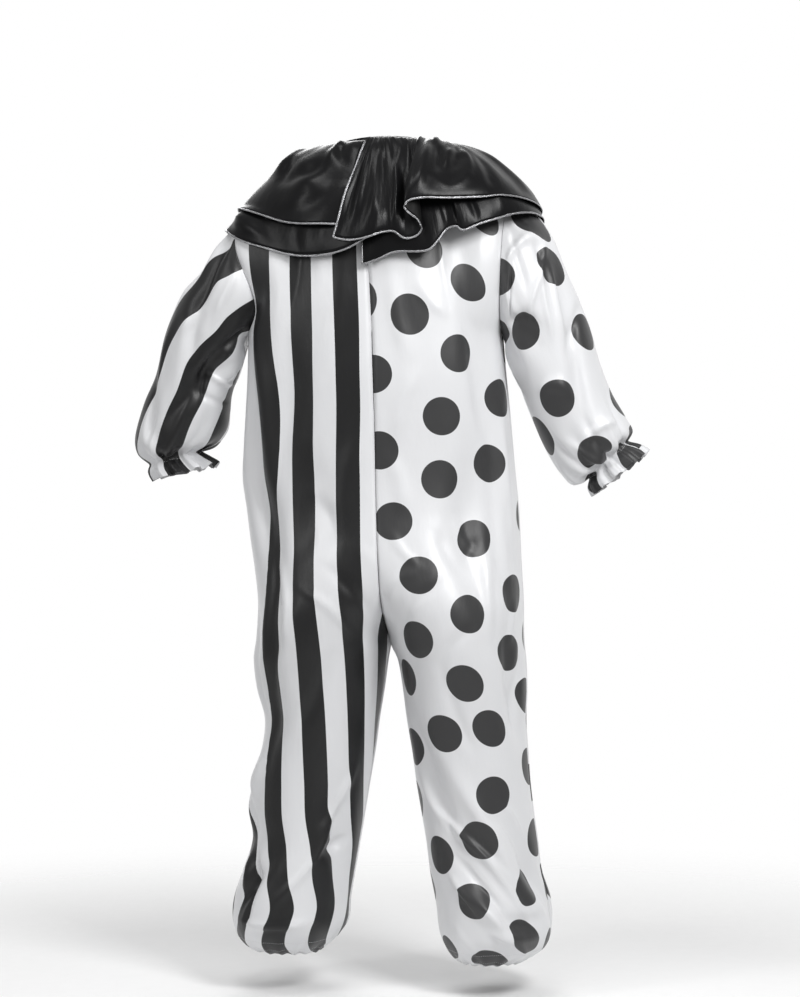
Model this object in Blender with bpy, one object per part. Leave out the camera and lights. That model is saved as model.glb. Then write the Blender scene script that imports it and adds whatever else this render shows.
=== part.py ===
"""A clown's costume in the shape it has when it is worn: a one-piece suit, striped on the wearer's
left half and dotted on the right half, under a ruffled collar of two tiers with a metallic edge.

Metres, +Z up. The wearer faces -Y and the wearer's left is +X. The origin is the middle of the neck
at the level of the shoulders, which hold the costume up. Each piece of cloth is a thin closed wall,
and neighbours stop SEAM short of each other along the line where they are sewn."""

import math
from collections import namedtuple

import bmesh
import bpy
from mathutils import Vector
from mathutils.bvhtree import BVHTree

WALL = 0.0020  # cloth with its seam allowance, as a wall
SEAM = 0.0003  # clearance between two sewn pieces
STEP = 1e-4  # step for slopes, as a share of a grid's own parameter
UP = Vector((0, 0, 1))

WHITE_SATIN = (0.80, 0.80, 0.82, 1)
BLACK_SATIN = (0.02, 0.02, 0.022, 1)
SILVER_BRAID = (0.55, 0.55, 0.56, 1)


# ---------------------------------------------------------------- tables and how they are read


def smooth(share):
    """0 to 1 with level ends."""
    share = min(1.0, max(0.0, share))
    return share * share * (3 - 2 * share)


def read(table, at):
    """The row of a table at a place between its rows, on a smooth curve. The first column is the place."""
    places = [row[0] for row in table]
    falling = places[0] > places[-1]
    i = 0
    while i < len(table) - 2 and ((at < places[i + 1]) if falling else (at > places[i + 1])):
        i += 1
    before, low = table[max(i - 1, 0)], table[i]
    high, after = table[i + 1], table[min(i + 2, len(table) - 1)]
    span = high[0] - low[0]
    t = (at - low[0]) / span
    values = [at]
    for k in range(1, len(low)):
        slope_low = (high[k] - before[k]) / (high[0] - before[0]) * span
        slope_high = (after[k] - low[k]) / (after[0] - low[0]) * span
        values.append(
            (2 * t**3 - 3 * t**2 + 1) * low[k]
            + (t**3 - 2 * t**2 + t) * slope_low
            + (3 * t**2 - 2 * t**3) * high[k]
            + (t**3 - t**2) * slope_high
        )
    return type(low)(*values)


# ---------------------------------------------------------------- the suit's body and legs

# Level sections of one half of the suit, from the underarm to the ankle. outer is the side seam.
# inner is the centre seam down to the crotch, and the inseam below it. Both are measured from the
# origin towards that half's own side. back, front and side are depths (+Y) of the back, the front
# and the side seam.
Section = namedtuple("Section", "z outer inner side back front")

LEFT_SECTIONS = [
    Section(-0.365, 0.2825, 0.0150, 0.000, 0.168, -0.160),
    Section(-0.440, 0.2847, 0.0130, 0.000, 0.170, -0.178),
    Section(-0.520, 0.2890, 0.0110, 0.000, 0.166, -0.196),
    Section(-0.585, 0.2925, 0.0100, 0.000, 0.163, -0.208),
    Section(-0.645, 0.2945, 0.0090, 0.000, 0.163, -0.215),
    Section(-0.702, 0.2867, 0.0070, 0.000, 0.168, -0.216),
    Section(-0.760, 0.2789, 0.0040, 0.002, 0.178, -0.210),
    Section(-0.820, 0.2691, 0.0010, 0.004, 0.188, -0.198),
    Section(-0.878, 0.2613, 0.0000, 0.007, 0.194, -0.182),
    Section(-0.920, 0.2613, 0.0000, 0.009, 0.192, -0.168),
    Section(-0.959, 0.2640, 0.0006, 0.011, 0.186, -0.154),
    Section(-0.995, 0.2691, 0.0059, 0.012, 0.178, -0.142),
    Section(-1.053, 0.2633, 0.0137, 0.012, 0.166, -0.130),
    Section(-1.112, 0.2477, 0.0234, 0.012, 0.154, -0.124),
    Section(-1.170, 0.2535, 0.0312, 0.012, 0.147, -0.122),
    Section(-1.229, 0.2672, 0.0410, 0.012, 0.143, -0.124),
    Section(-1.287, 0.2691, 0.0507, 0.012, 0.142, -0.122),
    Section(-1.346, 0.2652, 0.0605, 0.012, 0.146, -0.118),
    Section(-1.404, 0.2867, 0.0702, 0.014, 0.156, -0.120),
    Section(-1.463, 0.3081, 0.0800, 0.016, 0.164, -0.124),
    Section(-1.505, 0.3115, 0.0840, 0.017, 0.162, -0.122),
    Section(-1.535, 0.3040, 0.1020, 0.016, 0.142, -0.102),
    Section(-1.555, 0.2880, 0.1250, 0.014, 0.112, -0.078),
    Section(-1.566, 0.2720, 0.1380, 0.013, 0.084, -0.058),
]
RIGHT_SECTIONS = [
    Section(-0.365, 0.2160, -0.0150, 0.000, 0.168, -0.160),
    Section(-0.440, 0.2223, -0.0130, 0.000, 0.170, -0.178),
    Section(-0.520, 0.2305, -0.0110, 0.000, 0.166, -0.196),
    Section(-0.585, 0.2370, -0.0100, 0.000, 0.163, -0.208),
    Section(-0.645, 0.2429, -0.0090, 0.000, 0.163, -0.215),
    Section(-0.702, 0.2487, -0.0070, 0.000, 0.168, -0.216),
    Section(-0.760, 0.2520, -0.0040, 0.002, 0.178, -0.210),
    Section(-0.820, 0.2551, -0.0010, 0.004, 0.188, -0.198),
    Section(-0.878, 0.2585, 0.0000, 0.007, 0.194, -0.182),
    Section(-0.920, 0.2590, 0.0000, 0.009, 0.192, -0.168),
    Section(-0.959, 0.2605, 0.0006, 0.011, 0.186, -0.154),
    Section(-0.995, 0.2643, 0.0156, 0.012, 0.178, -0.142),
    Section(-1.053, 0.2663, 0.0254, 0.012, 0.166, -0.130),
    Section(-1.112, 0.2643, 0.0332, 0.012, 0.156, -0.125),
    Section(-1.170, 0.2682, 0.0429, 0.012, 0.149, -0.122),
    Section(-1.229, 0.2721, 0.0507, 0.012, 0.145, -0.122),
    Section(-1.287, 0.2790, 0.0605, 0.012, 0.143, -0.121),
    Section(-1.346, 0.2878, 0.0702, 0.012, 0.145, -0.120),
    Section(-1.404, 0.2950, 0.0780, 0.014, 0.152, -0.122),
    Section(-1.463, 0.3132, 0.0897, 0.016, 0.162, -0.126),
    Section(-1.521, 0.3152, 0.0975, 0.017, 0.160, -0.124),
    Section(-1.550, 0.3015, 0.1090, 0.016, 0.142, -0.104),
    Section(-1.570, 0.2750, 0.1230, 0.014, 0.112, -0.080),
    Section(-1.580, 0.2540, 0.1330, 0.013, 0.082, -0.056),
]
CHEST = -0.365  # level of the underarms
CROTCH = -0.959
WAIST = -0.700  # above it the two halves share one round trunk
BOX_CHEST = 0.82  # how square the chest's section is: 1 is an ellipse
SEAM_CALM = 24  # degrees beside a centre seam over which the folds die away
ANKLE_GATHER = 0.0035  # height of the gathers at the ankle elastic
ANKLE_GATHER_RISE = 0.050  # how far up from the hem they reach

# The largest folds. at is the level of the middle; around is the angle round a half from its back
# (0) past the side seam (90) to its front (180), and width is in the same degrees; lean is how far
# the fold turns round for each metre up; depth is outwards.
Fold = namedtuple("Fold", "at around length width lean depth")

LEFT_FOLDS = [
    Fold(-0.560, 66, 0.150, 10, 40, -0.019),
    Fold(-0.470, 34, 0.130, 9, -50, -0.012),
    Fold(-0.790, 50, 0.130, 10, 60, -0.017),
    Fold(-0.640, 118, 0.140, 12, -50, -0.019),
    Fold(-0.860, 140, 0.110, 11, 70, -0.016),
    Fold(-1.060, 40, 0.120, 12, -80, -0.016),
    Fold(-1.250, 66, 0.110, 12, -120, 0.014),
    Fold(-1.330, -46, 0.080, 13, 160, -0.019),
    Fold(-1.440, 46, 0.060, 12, -260, -0.019),
    Fold(-1.450, 122, 0.070, 13, 200, -0.019),
    Fold(-1.180, 150, 0.120, 13, -90, -0.016),
    Fold(-1.360, 190, 0.090, 13, 120, -0.016),
]
RIGHT_FOLDS = [
    Fold(-0.470, 60, 0.140, 10, -40, -0.017),
    Fold(-0.720, 42, 0.140, 10, 50, -0.019),
    Fold(-0.650, 120, 0.150, 12, 40, -0.019),
    Fold(-0.850, 142, 0.110, 11, -60, -0.016),
    Fold(-1.030, 58, 0.110, 12, -90, -0.017),
    Fold(-1.230, -34, 0.120, 12, -150, -0.016),
    Fold(-1.330, 22, 0.110, 10, -240, 0.016),
    Fold(-1.400, 62, 0.080, 12, -260, -0.017),
    Fold(-1.470, 6, 0.050, 10, -420, 0.017),
    Fold(-1.200, 148, 0.120, 13, 90, -0.016),
    Fold(-1.450, 132, 0.070, 13, -200, -0.019),
    Fold(-1.350, 200, 0.090, 13, -120, -0.016),
]


def split(z):
    """0 where the halves are one trunk, 1 where they are two legs."""
    return smooth((WAIST - z) / (WAIST - CROTCH))


def half_ring(half, z):
    """Centre, reach and section of one half's ellipse at a level."""
    section = read(half.sections, z)
    width = section.outer - section.inner
    share = split(z)
    return section.inner + width * share / 2, width * (1 - share / 2), section


def seam_angle(half, z):
    """Where the ring meets the centre seam, or the inseam from the crotch down."""
    centre, reach, section = half_ring(half, z)
    if z <= CROTCH + STEP:
        return -math.pi / 2 + SEAM / 2 / (section.back - section.side)
    return math.asin((section.inner + SEAM / 2 - centre) / reach)


def power(value, exponent):
    return math.copysign(abs(value) ** exponent, value)


def fold_height(folds, degrees, at):
    """How far the folds move the cloth in or out at an angle and a level."""
    height = 0.0
    for fold in folds:
        round_from = degrees - fold.around - fold.lean * (at - fold.at)
        across = ((round_from + 180) % 360 - 180) / fold.width
        along = (at - fold.at) / fold.length
        height += fold.depth * math.exp(-across * across - along * along)
    return height


def body_point(half, angle, z):
    """A point of the suit's outside. angle is 0 at the back, 90 degrees at the side seam."""
    centre, reach, section = half_ring(half, z)
    boxy = BOX_CHEST + (1 - BOX_CHEST) * smooth((CHEST - z) / (CHEST - WAIST))
    sine, cosine = math.sin(angle), math.cos(angle)
    depth = section.back - section.side if cosine > 0 else section.side - section.front
    degrees, seam = math.degrees(angle), math.degrees(seam_angle(half, z))
    calm = smooth((degrees - seam) / SEAM_CALM) * smooth((180 - seam - degrees) / SEAM_CALM)
    height = fold_height(half.folds, degrees, z) * calm
    x = centre + reach * power(sine, boxy) + height * sine
    y = section.side + depth * power(cosine, boxy) + height * cosine
    return Vector((half.sign * x, y, z))


def body_normal(half, angle, z):
    """The direction out of the suit's cloth, from its slopes round the ring and down it."""
    low = half.sections[-1].z
    top, bottom = min(z + STEP, CHEST), max(z - STEP, low)
    around = body_point(half, angle + STEP, z) - body_point(half, angle - STEP, z)
    down = body_point(half, angle, bottom) - body_point(half, angle, top)
    return half.sign * around.cross(down).normalized()


# ---------------------------------------------------------------- sleeves

# Rings of a sleeve from the armhole to the frill's edge. outer and inner are the ends of the ring's
# width, at the shoulder's side and the underarm's side, measured outwards and up. deep is half the
# ring's depth, and ahead is the depth (+Y) of its middle. lean moves the armhole's upper quarters
# outwards and its lower quarters inwards. A sleeve's folds have their middle and length in rings.
Ring = namedtuple("Ring", "place outer_x outer_z inner_x inner_z deep ahead lean")

LEFT_RINGS = [
    Ring(0, 0.2700, -0.1240, 0.2825, -0.3650, 0.092, 0.000, 0.060),
    Ring(1, 0.3010, -0.1520, 0.2920, -0.3830, 0.100, 0.000, 0.028),
    Ring(2, 0.3390, -0.1840, 0.2965, -0.4030, 0.102, -0.004, 0.010),
    Ring(3, 0.3750, -0.2350, 0.3000, -0.4250, 0.100, -0.008, 0.000),
    Ring(4, 0.4120, -0.2750, 0.3080, -0.4470, 0.098, -0.012, 0.000),
    Ring(5, 0.4360, -0.3230, 0.3190, -0.4660, 0.097, -0.018, 0.000),
    Ring(6, 0.4560, -0.3720, 0.3255, -0.4870, 0.096, -0.025, 0.000),
    Ring(7, 0.4740, -0.4410, 0.3285, -0.5130, 0.096, -0.032, 0.000),
    Ring(8, 0.5000, -0.4970, 0.3340, -0.5400, 0.095, -0.040, 0.000),
    Ring(9, 0.5200, -0.5600, 0.3450, -0.5620, 0.090, -0.045, 0.000),
    Ring(10, 0.5170, -0.5960, 0.3620, -0.5780, 0.080, -0.048, 0.000),
    Ring(11, 0.4920, -0.6160, 0.3900, -0.5900, 0.052, -0.050, 0.000),
    Ring(12, 0.4920, -0.6330, 0.3720, -0.6060, 0.060, -0.052, 0.000),
    Ring(13, 0.4820, -0.6480, 0.3560, -0.6180, 0.067, -0.054, 0.000),
]
RIGHT_RINGS = [
    Ring(0, 0.2280, -0.1000, 0.2160, -0.3650, 0.096, 0.000, 0.000),
    Ring(1, 0.2560, -0.1190, 0.2240, -0.3850, 0.102, 0.000, 0.000),
    Ring(2, 0.2870, -0.1380, 0.2290, -0.4050, 0.104, -0.004, 0.000),
    Ring(3, 0.3160, -0.1820, 0.2370, -0.4300, 0.104, -0.008, 0.000),
    Ring(4, 0.3380, -0.2390, 0.2480, -0.4600, 0.101, -0.012, 0.000),
    Ring(5, 0.3630, -0.2980, 0.2610, -0.4970, 0.099, -0.018, 0.000),
    Ring(6, 0.3860, -0.3580, 0.2740, -0.5330, 0.097, -0.025, 0.000),
    Ring(7, 0.4020, -0.4160, 0.2870, -0.5670, 0.096, -0.032, 0.000),
    Ring(8, 0.4240, -0.4750, 0.3030, -0.5980, 0.096, -0.040, 0.000),
    Ring(9, 0.4500, -0.5200, 0.3240, -0.6320, 0.091, -0.045, 0.000),
    Ring(10, 0.4640, -0.5500, 0.3500, -0.6560, 0.080, -0.048, 0.000),
    Ring(11, 0.4530, -0.5720, 0.3820, -0.6420, 0.053, -0.050, 0.000),
    Ring(12, 0.4760, -0.5820, 0.3830, -0.6620, 0.062, -0.052, 0.000),
    Ring(13, 0.4940, -0.5940, 0.3920, -0.6760, 0.070, -0.054, 0.000),
]
LEFT_SLEEVE_FOLDS = [
    Fold(3.0, 62, 2.2, 14, 12, -0.013),
    Fold(6.0, 112, 2.0, 14, -14, -0.014),
    Fold(8.6, 58, 1.2, 13, 16, -0.010),
    Fold(5.0, -92, 2.5, 15, 8, -0.013),
    Fold(8.4, -50, 1.4, 14, -12, -0.010),
]
RIGHT_SLEEVE_FOLDS = [
    Fold(2.8, 116, 2.0, 14, -12, -0.013),
    Fold(6.2, 58, 2.4, 14, 10, -0.014),
    Fold(8.8, 104, 1.2, 13, 6, -0.010),
    Fold(5.0, -84, 2.5, 15, -8, -0.013),
    Fold(8.4, -128, 1.4, 14, 12, -0.010),
]
ELASTIC_RING = 11
LAST_RING = 13
CUFF_WAVES = 12  # gathers at the elastic, which open into the frill's waves
CUFF_GATHER = 0.0030
FRILL_WAVE = 0.0065


def cuff_wave(turn, place):
    """The gathers at the wrist elastic, growing into the waves of the frill beyond it."""
    rise = smooth((place - (ELASTIC_RING - 2)) / 2)
    flare = smooth((place - ELASTIC_RING) / (LAST_RING - ELASTIC_RING))
    height = CUFF_GATHER * rise * (1 - flare) + FRILL_WAVE * flare
    return height * math.cos(CUFF_WAVES * turn)


def sleeve_point(half, turn, place):
    """A point of a sleeve's outside. turn is 0 at the top of the shoulder, 90 degrees at the back."""
    ring = read(half.rings, place)
    outer = Vector((half.sign * ring.outer_x, ring.ahead, ring.outer_z))
    inner = Vector((half.sign * ring.inner_x, ring.ahead, ring.inner_z))
    middle, across = (outer + inner) / 2, (outer - inner) / 2
    point = middle + across * math.cos(turn)
    point.x += half.sign * ring.lean * math.cos(turn) * math.sin(turn) ** 2
    point.y += ring.deep * math.sin(turn)
    height = fold_height(half.sleeve_folds, math.degrees(turn), place) + cuff_wave(turn, place)
    return point + (point - middle).normalized() * height


def sleeve_normal(half, turn, place):
    start, end = max(place - STEP, 0), min(place + STEP, LAST_RING)
    around = sleeve_point(half, turn + STEP, place) - sleeve_point(half, turn - STEP, place)
    along = sleeve_point(half, turn, end) - sleeve_point(half, turn, start)
    return half.sign * along.cross(around).normalized()


def armhole_axis(half):
    """The direction in which the sleeve leaves the body, square to the armhole."""
    top, back, bottom = (sleeve_point(half, math.radians(a), 0) for a in (0, 90, 180))
    return half.sign * (bottom - top).cross(back - top).normalized()


Half = namedtuple("Half", "name sign sections folds rings sleeve_folds")
LEFT = Half("left", 1, LEFT_SECTIONS, LEFT_FOLDS, LEFT_RINGS, LEFT_SLEEVE_FOLDS)
RIGHT = Half("right", -1, RIGHT_SECTIONS, RIGHT_FOLDS, RIGHT_RINGS, RIGHT_SLEEVE_FOLDS)


# ---------------------------------------------------------------- shoulders: neck to underarm

NECK_WIDE = 0.100  # half the neckline's width
NECK_DEEP = 0.088  # half its depth
NECK_BACK_Z = -0.010
NECK_SIDE_Z = -0.018
NECK_FRONT_Z = -0.080
SHOULDER_CROWN = 0.018  # how far the shoulder seam arches over a straight line
NECK_COLUMNS = 5  # columns of a panel that end at the neckline, and not at the shoulder seam

# The centre seam between the neckline and the chest. down is 0 at the neckline and 1 at the chest.
Centre = namedtuple("Centre", "down x y z")
BACK_CENTRE = [
    Centre(0.00, 0.000, NECK_DEEP, NECK_BACK_Z),
    Centre(0.25, 0.020, 0.124, -0.075),
    Centre(0.50, 0.028, 0.147, -0.165),
    Centre(0.75, 0.021, 0.161, -0.265),
    Centre(1.00, 0.015, 0.168, CHEST),
]
FRONT_CENTRE = [
    Centre(0.00, 0.000, -NECK_DEEP, NECK_FRONT_Z),
    Centre(0.25, 0.012, -0.112, -0.135),
    Centre(0.50, 0.018, -0.134, -0.205),
    Centre(0.75, 0.018, -0.150, -0.285),
    Centre(1.00, 0.015, -0.160, CHEST),
]


def neck_point(angle):
    """A point of the neckline. angle is 0 at the centre back and 90 degrees at the wearer's left."""
    cosine = math.cos(angle)
    rise = NECK_BACK_Z - NECK_SIDE_Z if cosine > 0 else NECK_SIDE_Z - NECK_FRONT_Z
    level = NECK_SIDE_Z + rise * math.copysign(cosine * cosine, cosine)
    return Vector((NECK_WIDE * math.sin(angle), NECK_DEEP * cosine, level))


def top_edge(half, facing, share):
    """A panel's top edge: its half of the neckline, then the shoulder seam. facing is 1 at the back."""
    neck_share = NECK_COLUMNS / COLUMNS[facing]
    if share <= neck_share:
        angle = math.pi / 2 * share / neck_share
        angle = angle if facing > 0 else math.pi - angle
        return neck_point(half.sign * angle)
    along = (share - neck_share) / (1 - neck_share)
    neck = neck_point(half.sign * math.pi / 2)
    tip = sleeve_point(half, 0, 0)
    return neck.lerp(tip, along) + UP * SHOULDER_CROWN * math.sin(math.pi * along)


def chest_edge(half, facing, share):
    start = seam_angle(half, CHEST)
    angle = start + share * (math.pi / 2 - start)
    return body_point(half, angle if facing > 0 else math.pi - angle, CHEST)


def yoke_point(half, facing, share, down):
    """A point between neckline and chest, blended from the four edges of that part of the panel."""
    centre = read(BACK_CENTRE if facing > 0 else FRONT_CENTRE, down)
    seam = Vector((centre.x, centre.y, centre.z))
    armhole = sleeve_point(half, facing * math.pi * down, 0)
    top, chest = top_edge(half, facing, share), chest_edge(half, facing, share)
    top_corners = top_edge(half, facing, 0).lerp(top_edge(half, facing, 1), share)
    chest_corners = chest_edge(half, facing, 0).lerp(chest_edge(half, facing, 1), share)
    return top.lerp(chest, down) + seam.lerp(armhole, share) - top_corners.lerp(chest_corners, down)


def yoke_normal(half, facing, share, down):
    """The direction out of the yoke, kept clear of the neighbouring pieces at its edges."""
    left, right = max(share - STEP, 0), min(share + STEP, 1)
    upper, lower = max(down - STEP, 0), min(down + STEP, 1)
    around = yoke_point(half, facing, right, down) - yoke_point(half, facing, left, down)
    along = yoke_point(half, facing, share, lower) - yoke_point(half, facing, share, upper)
    normal = half.sign * facing * around.cross(along).normalized()
    if down == 0:
        normal = UP + normal / 2 if share * COLUMNS[facing] < NECK_COLUMNS else normal
        normal.y = 0 if share * COLUMNS[facing] >= NECK_COLUMNS else normal.y
    if share == 0:
        normal.x = 0
    if share == 1:
        axis = armhole_axis(half)
        normal -= axis * min(0.0, normal.dot(axis))
    return normal.normalized()


# ---------------------------------------------------------------- making a wall of cloth


def material(name, colour, roughness, metallic=0.0):
    made = bpy.data.materials.new(name)
    made.use_nodes = True
    shader = made.node_tree.nodes["Principled BSDF"]
    shader.inputs["Base Color"].default_value = colour
    shader.inputs["Roughness"].default_value = roughness
    shader.inputs["Metallic"].default_value = metallic
    made.diffuse_color = colour
    return made


def cloth_wall(name, columns, rows, place, finish, closed=False, thick=WALL):
    """A closed wall over a grid, and the tree of its outside, which other cloth can lie on.

    place(column, row) gives a point of the outside and the direction out of the cloth there."""
    sheet = bmesh.new()
    bmesh.ops.create_grid(sheet, x_segments=columns, y_segments=rows, size=1)
    column_of = sheet.verts.layers.int.new("column")
    row_of = sheet.verts.layers.int.new("row")
    for vertex in sheet.verts:
        column = round((vertex.co.x + 1) / 2 * columns)
        vertex[column_of] = column % columns if closed else column
        vertex[row_of] = round((vertex.co.y + 1) / 2 * rows)
    for vertex in sheet.verts:
        vertex.co = place(vertex[column_of], vertex[row_of])[0]
    if closed:
        bmesh.ops.remove_doubles(sheet, verts=sheet.verts, dist=1e-6)
    sheet.normal_update()
    some_face = sheet.faces[:][0]
    some_corner = some_face.verts[0]
    if some_face.normal.dot(place(some_corner[column_of], some_corner[row_of])[1]) < 0:
        bmesh.ops.reverse_faces(sheet, faces=sheet.faces[:])
    skin = BVHTree.FromBMesh(sheet)
    backed = bmesh.ops.extrude_face_region(sheet, geom=sheet.faces[:], use_keep_orig=True)
    for vertex in [item for item in backed["geom"] if isinstance(item, bmesh.types.BMVert)]:
        outside, normal = place(vertex[column_of], vertex[row_of])
        vertex.co = outside - normal * thick
    bmesh.ops.triangulate(sheet, faces=sheet.faces[:], quad_method="SHORT_EDGE")
    bmesh.ops.recalc_face_normals(sheet, faces=sheet.faces[:])
    mesh = bpy.data.meshes.new(name)
    sheet.to_mesh(mesh)
    sheet.free()
    mesh.materials.append(finish)
    mesh.shade_smooth()
    mesh.set_sharp_from_angle(angle=math.radians(50))
    wall = bpy.data.objects.new(name, mesh)
    bpy.context.scene.collection.objects.link(wall)
    return skin


# ---------------------------------------------------------------- the pieces of the suit

COLUMNS = {1: 12, -1: 10}  # of a back and of a front
SLEEVE_COLUMNS = 24
YOKE_ROWS = SLEEVE_COLUMNS // 2  # so that the armhole's edges match


def panel(half, facing, finish):
    """One front or back of the suit: its body down to the crotch's level, and its leg.

    It is one length of cloth. The two solids stop SEAM short of each other, as at a sewn seam."""
    columns = COLUMNS[facing]
    levels = [section.z for section in half.sections]
    hem = levels[-1]
    last_body_row = YOKE_ROWS + levels.index(CROTCH)

    def place(column, row):
        share = column / columns
        if row < YOKE_ROWS:
            down = row / YOKE_ROWS
            point = yoke_point(half, facing, share, down)
            normal = yoke_normal(half, facing, share, down)
            if column == 0:
                point.x += half.sign * SEAM / 2
            if row == 0 and column >= NECK_COLUMNS:
                point.y += facing * SEAM / 2
            return point, normal
        z = levels[row - YOKE_ROWS]
        start = seam_angle(half, z)
        reach = math.pi / 2 - start
        if column == columns:
            share = 1 - SEAM / 2 / (reach * 0.16)
        angle = start + share * reach
        angle = angle if facing > 0 else math.pi - angle
        point = body_point(half, angle, z)
        normal = body_normal(half, angle, z)
        if column == 0 and z > CROTCH + STEP:
            point.x = half.sign * (read(half.sections, z).inner + SEAM / 2)
            normal.x = half.sign * min(0.0, half.sign * normal.x)
            normal.normalize()
        pinch = smooth(1 - (z - hem) / ANKLE_GATHER_RISE)
        return point + normal * ANKLE_GATHER * pinch * (-1) ** column, normal

    def body_place(column, row):
        point, normal = place(column, row)
        return (point + UP * SEAM / 2 if row == last_body_row else point), normal

    def leg_place(column, row):
        point, normal = place(column, row + last_body_row)
        return (point - UP * SEAM / 2 if row == 0 else point), normal

    name = f"{'back' if facing > 0 else 'front'}_{half.name}"
    leg_rows = YOKE_ROWS + len(levels) - 1 - last_body_row
    return [
        cloth_wall(name, columns, last_body_row, body_place, finish),
        cloth_wall(f"leg_{name}", columns, leg_rows, leg_place, finish),
    ]


def sleeve(half, finish):
    """A set-in sleeve, gathered by elastic at the wrist, with its end left as a short frill."""
    axis = armhole_axis(half)

    def place(column, row):
        turn = 2 * math.pi * column / SLEEVE_COLUMNS
        point = sleeve_point(half, turn, row)
        normal = sleeve_normal(half, turn, row)
        if row == 0:
            point += axis * SEAM
            normal = (normal - axis * max(0.0, normal.dot(axis))).normalized()
        return point, normal

    return cloth_wall(f"sleeve_{half.name}", SLEEVE_COLUMNS, LAST_RING, place, finish, closed=True)


# ---------------------------------------------------------------- the collar

BAND_HEIGHT = 0.024
BAND_SEGMENTS = 4 * NECK_COLUMNS
BAND_CLOSE = 36  # degrees from the centre back towards the wearer's left, where the band closes

# Spokes of a tier, from one end of the strip to the other. neck is the angle round the neckband in
# degrees, as in neck_point. x, y and z are the tier's hem. lift is how high the cloth stands off
# on its way out, and flare how far it swings out above the hem.
Spoke = namedtuple("Spoke", "place neck x y z lift flare")

UPPER_SPOKES = [
    Spoke(0, 42, 0.084, 0.178, -0.183, 0.028, 0.002),
    Spoke(1, 33, 0.054, 0.182, -0.189, 0.026, 0.004),
    Spoke(2, 24, 0.016, 0.184, -0.184, 0.016, 0.000),
    Spoke(3, 16, -0.013, 0.180, -0.173, 0.024, 0.004),
    Spoke(4, 9, -0.035, 0.190, -0.177, 0.014, 0.000),
    Spoke(5, 3, -0.063, 0.202, -0.190, 0.030, 0.010),
    Spoke(6, -3, -0.078, 0.203, -0.176, 0.032, 0.010),
    Spoke(7, -9, -0.081, 0.196, -0.151, 0.018, 0.000),
    Spoke(8, -15, -0.084, 0.190, -0.130, 0.030, 0.004),
    Spoke(9, -22, -0.098, 0.191, -0.119, 0.020, 0.000),
    Spoke(10, -31, -0.136, 0.186, -0.114, 0.036, 0.006),
    Spoke(11, -43, -0.191, 0.165, -0.107, 0.030, 0.000),
    Spoke(12, -57, -0.226, 0.137, -0.104, 0.032, 0.000),
    Spoke(13, -73, -0.259, 0.095, -0.107, 0.026, -0.004),
    Spoke(14, -88, -0.281, 0.040, -0.118, 0.028, -0.004),
    Spoke(15, -103, -0.284, -0.022, -0.130, 0.028, -0.002),
    Spoke(16, -117, -0.262, -0.082, -0.142, 0.026, -0.004),
    Spoke(17, -130, -0.222, -0.120, -0.168, 0.030, 0.008),
    Spoke(18, -142, -0.178, -0.164, -0.172, 0.024, -0.004),
    Spoke(19, -152, -0.138, -0.166, -0.200, 0.026, 0.010),
    Spoke(20, -162, -0.098, -0.196, -0.190, 0.020, -0.004),
    Spoke(21, -171, -0.058, -0.180, -0.212, 0.024, 0.010),
    Spoke(22, -180, -0.012, -0.206, -0.200, 0.020, -0.004),
    Spoke(23, -190, 0.034, -0.184, -0.216, 0.024, 0.010),
    Spoke(24, -200, 0.082, -0.202, -0.200, 0.022, -0.004),
    Spoke(25, -211, 0.124, -0.172, -0.206, 0.026, 0.008),
    Spoke(26, -223, 0.172, -0.170, -0.184, 0.030, 0.000),
    Spoke(27, -236, 0.214, -0.128, -0.182, 0.032, 0.004),
    Spoke(28, -249, 0.262, -0.090, -0.156, 0.030, -0.004),
    Spoke(29, -262, 0.286, -0.030, -0.140, 0.030, -0.004),
    Spoke(30, -275, 0.288, 0.030, -0.126, 0.030, -0.004),
    Spoke(31, -289, 0.246, 0.092, -0.136, 0.032, 0.000),
    Spoke(32, -305, 0.160, 0.150, -0.155, 0.028, 0.002),
    Spoke(33, -326, 0.055, 0.164, -0.164, 0.008, -0.004),
]
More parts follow.
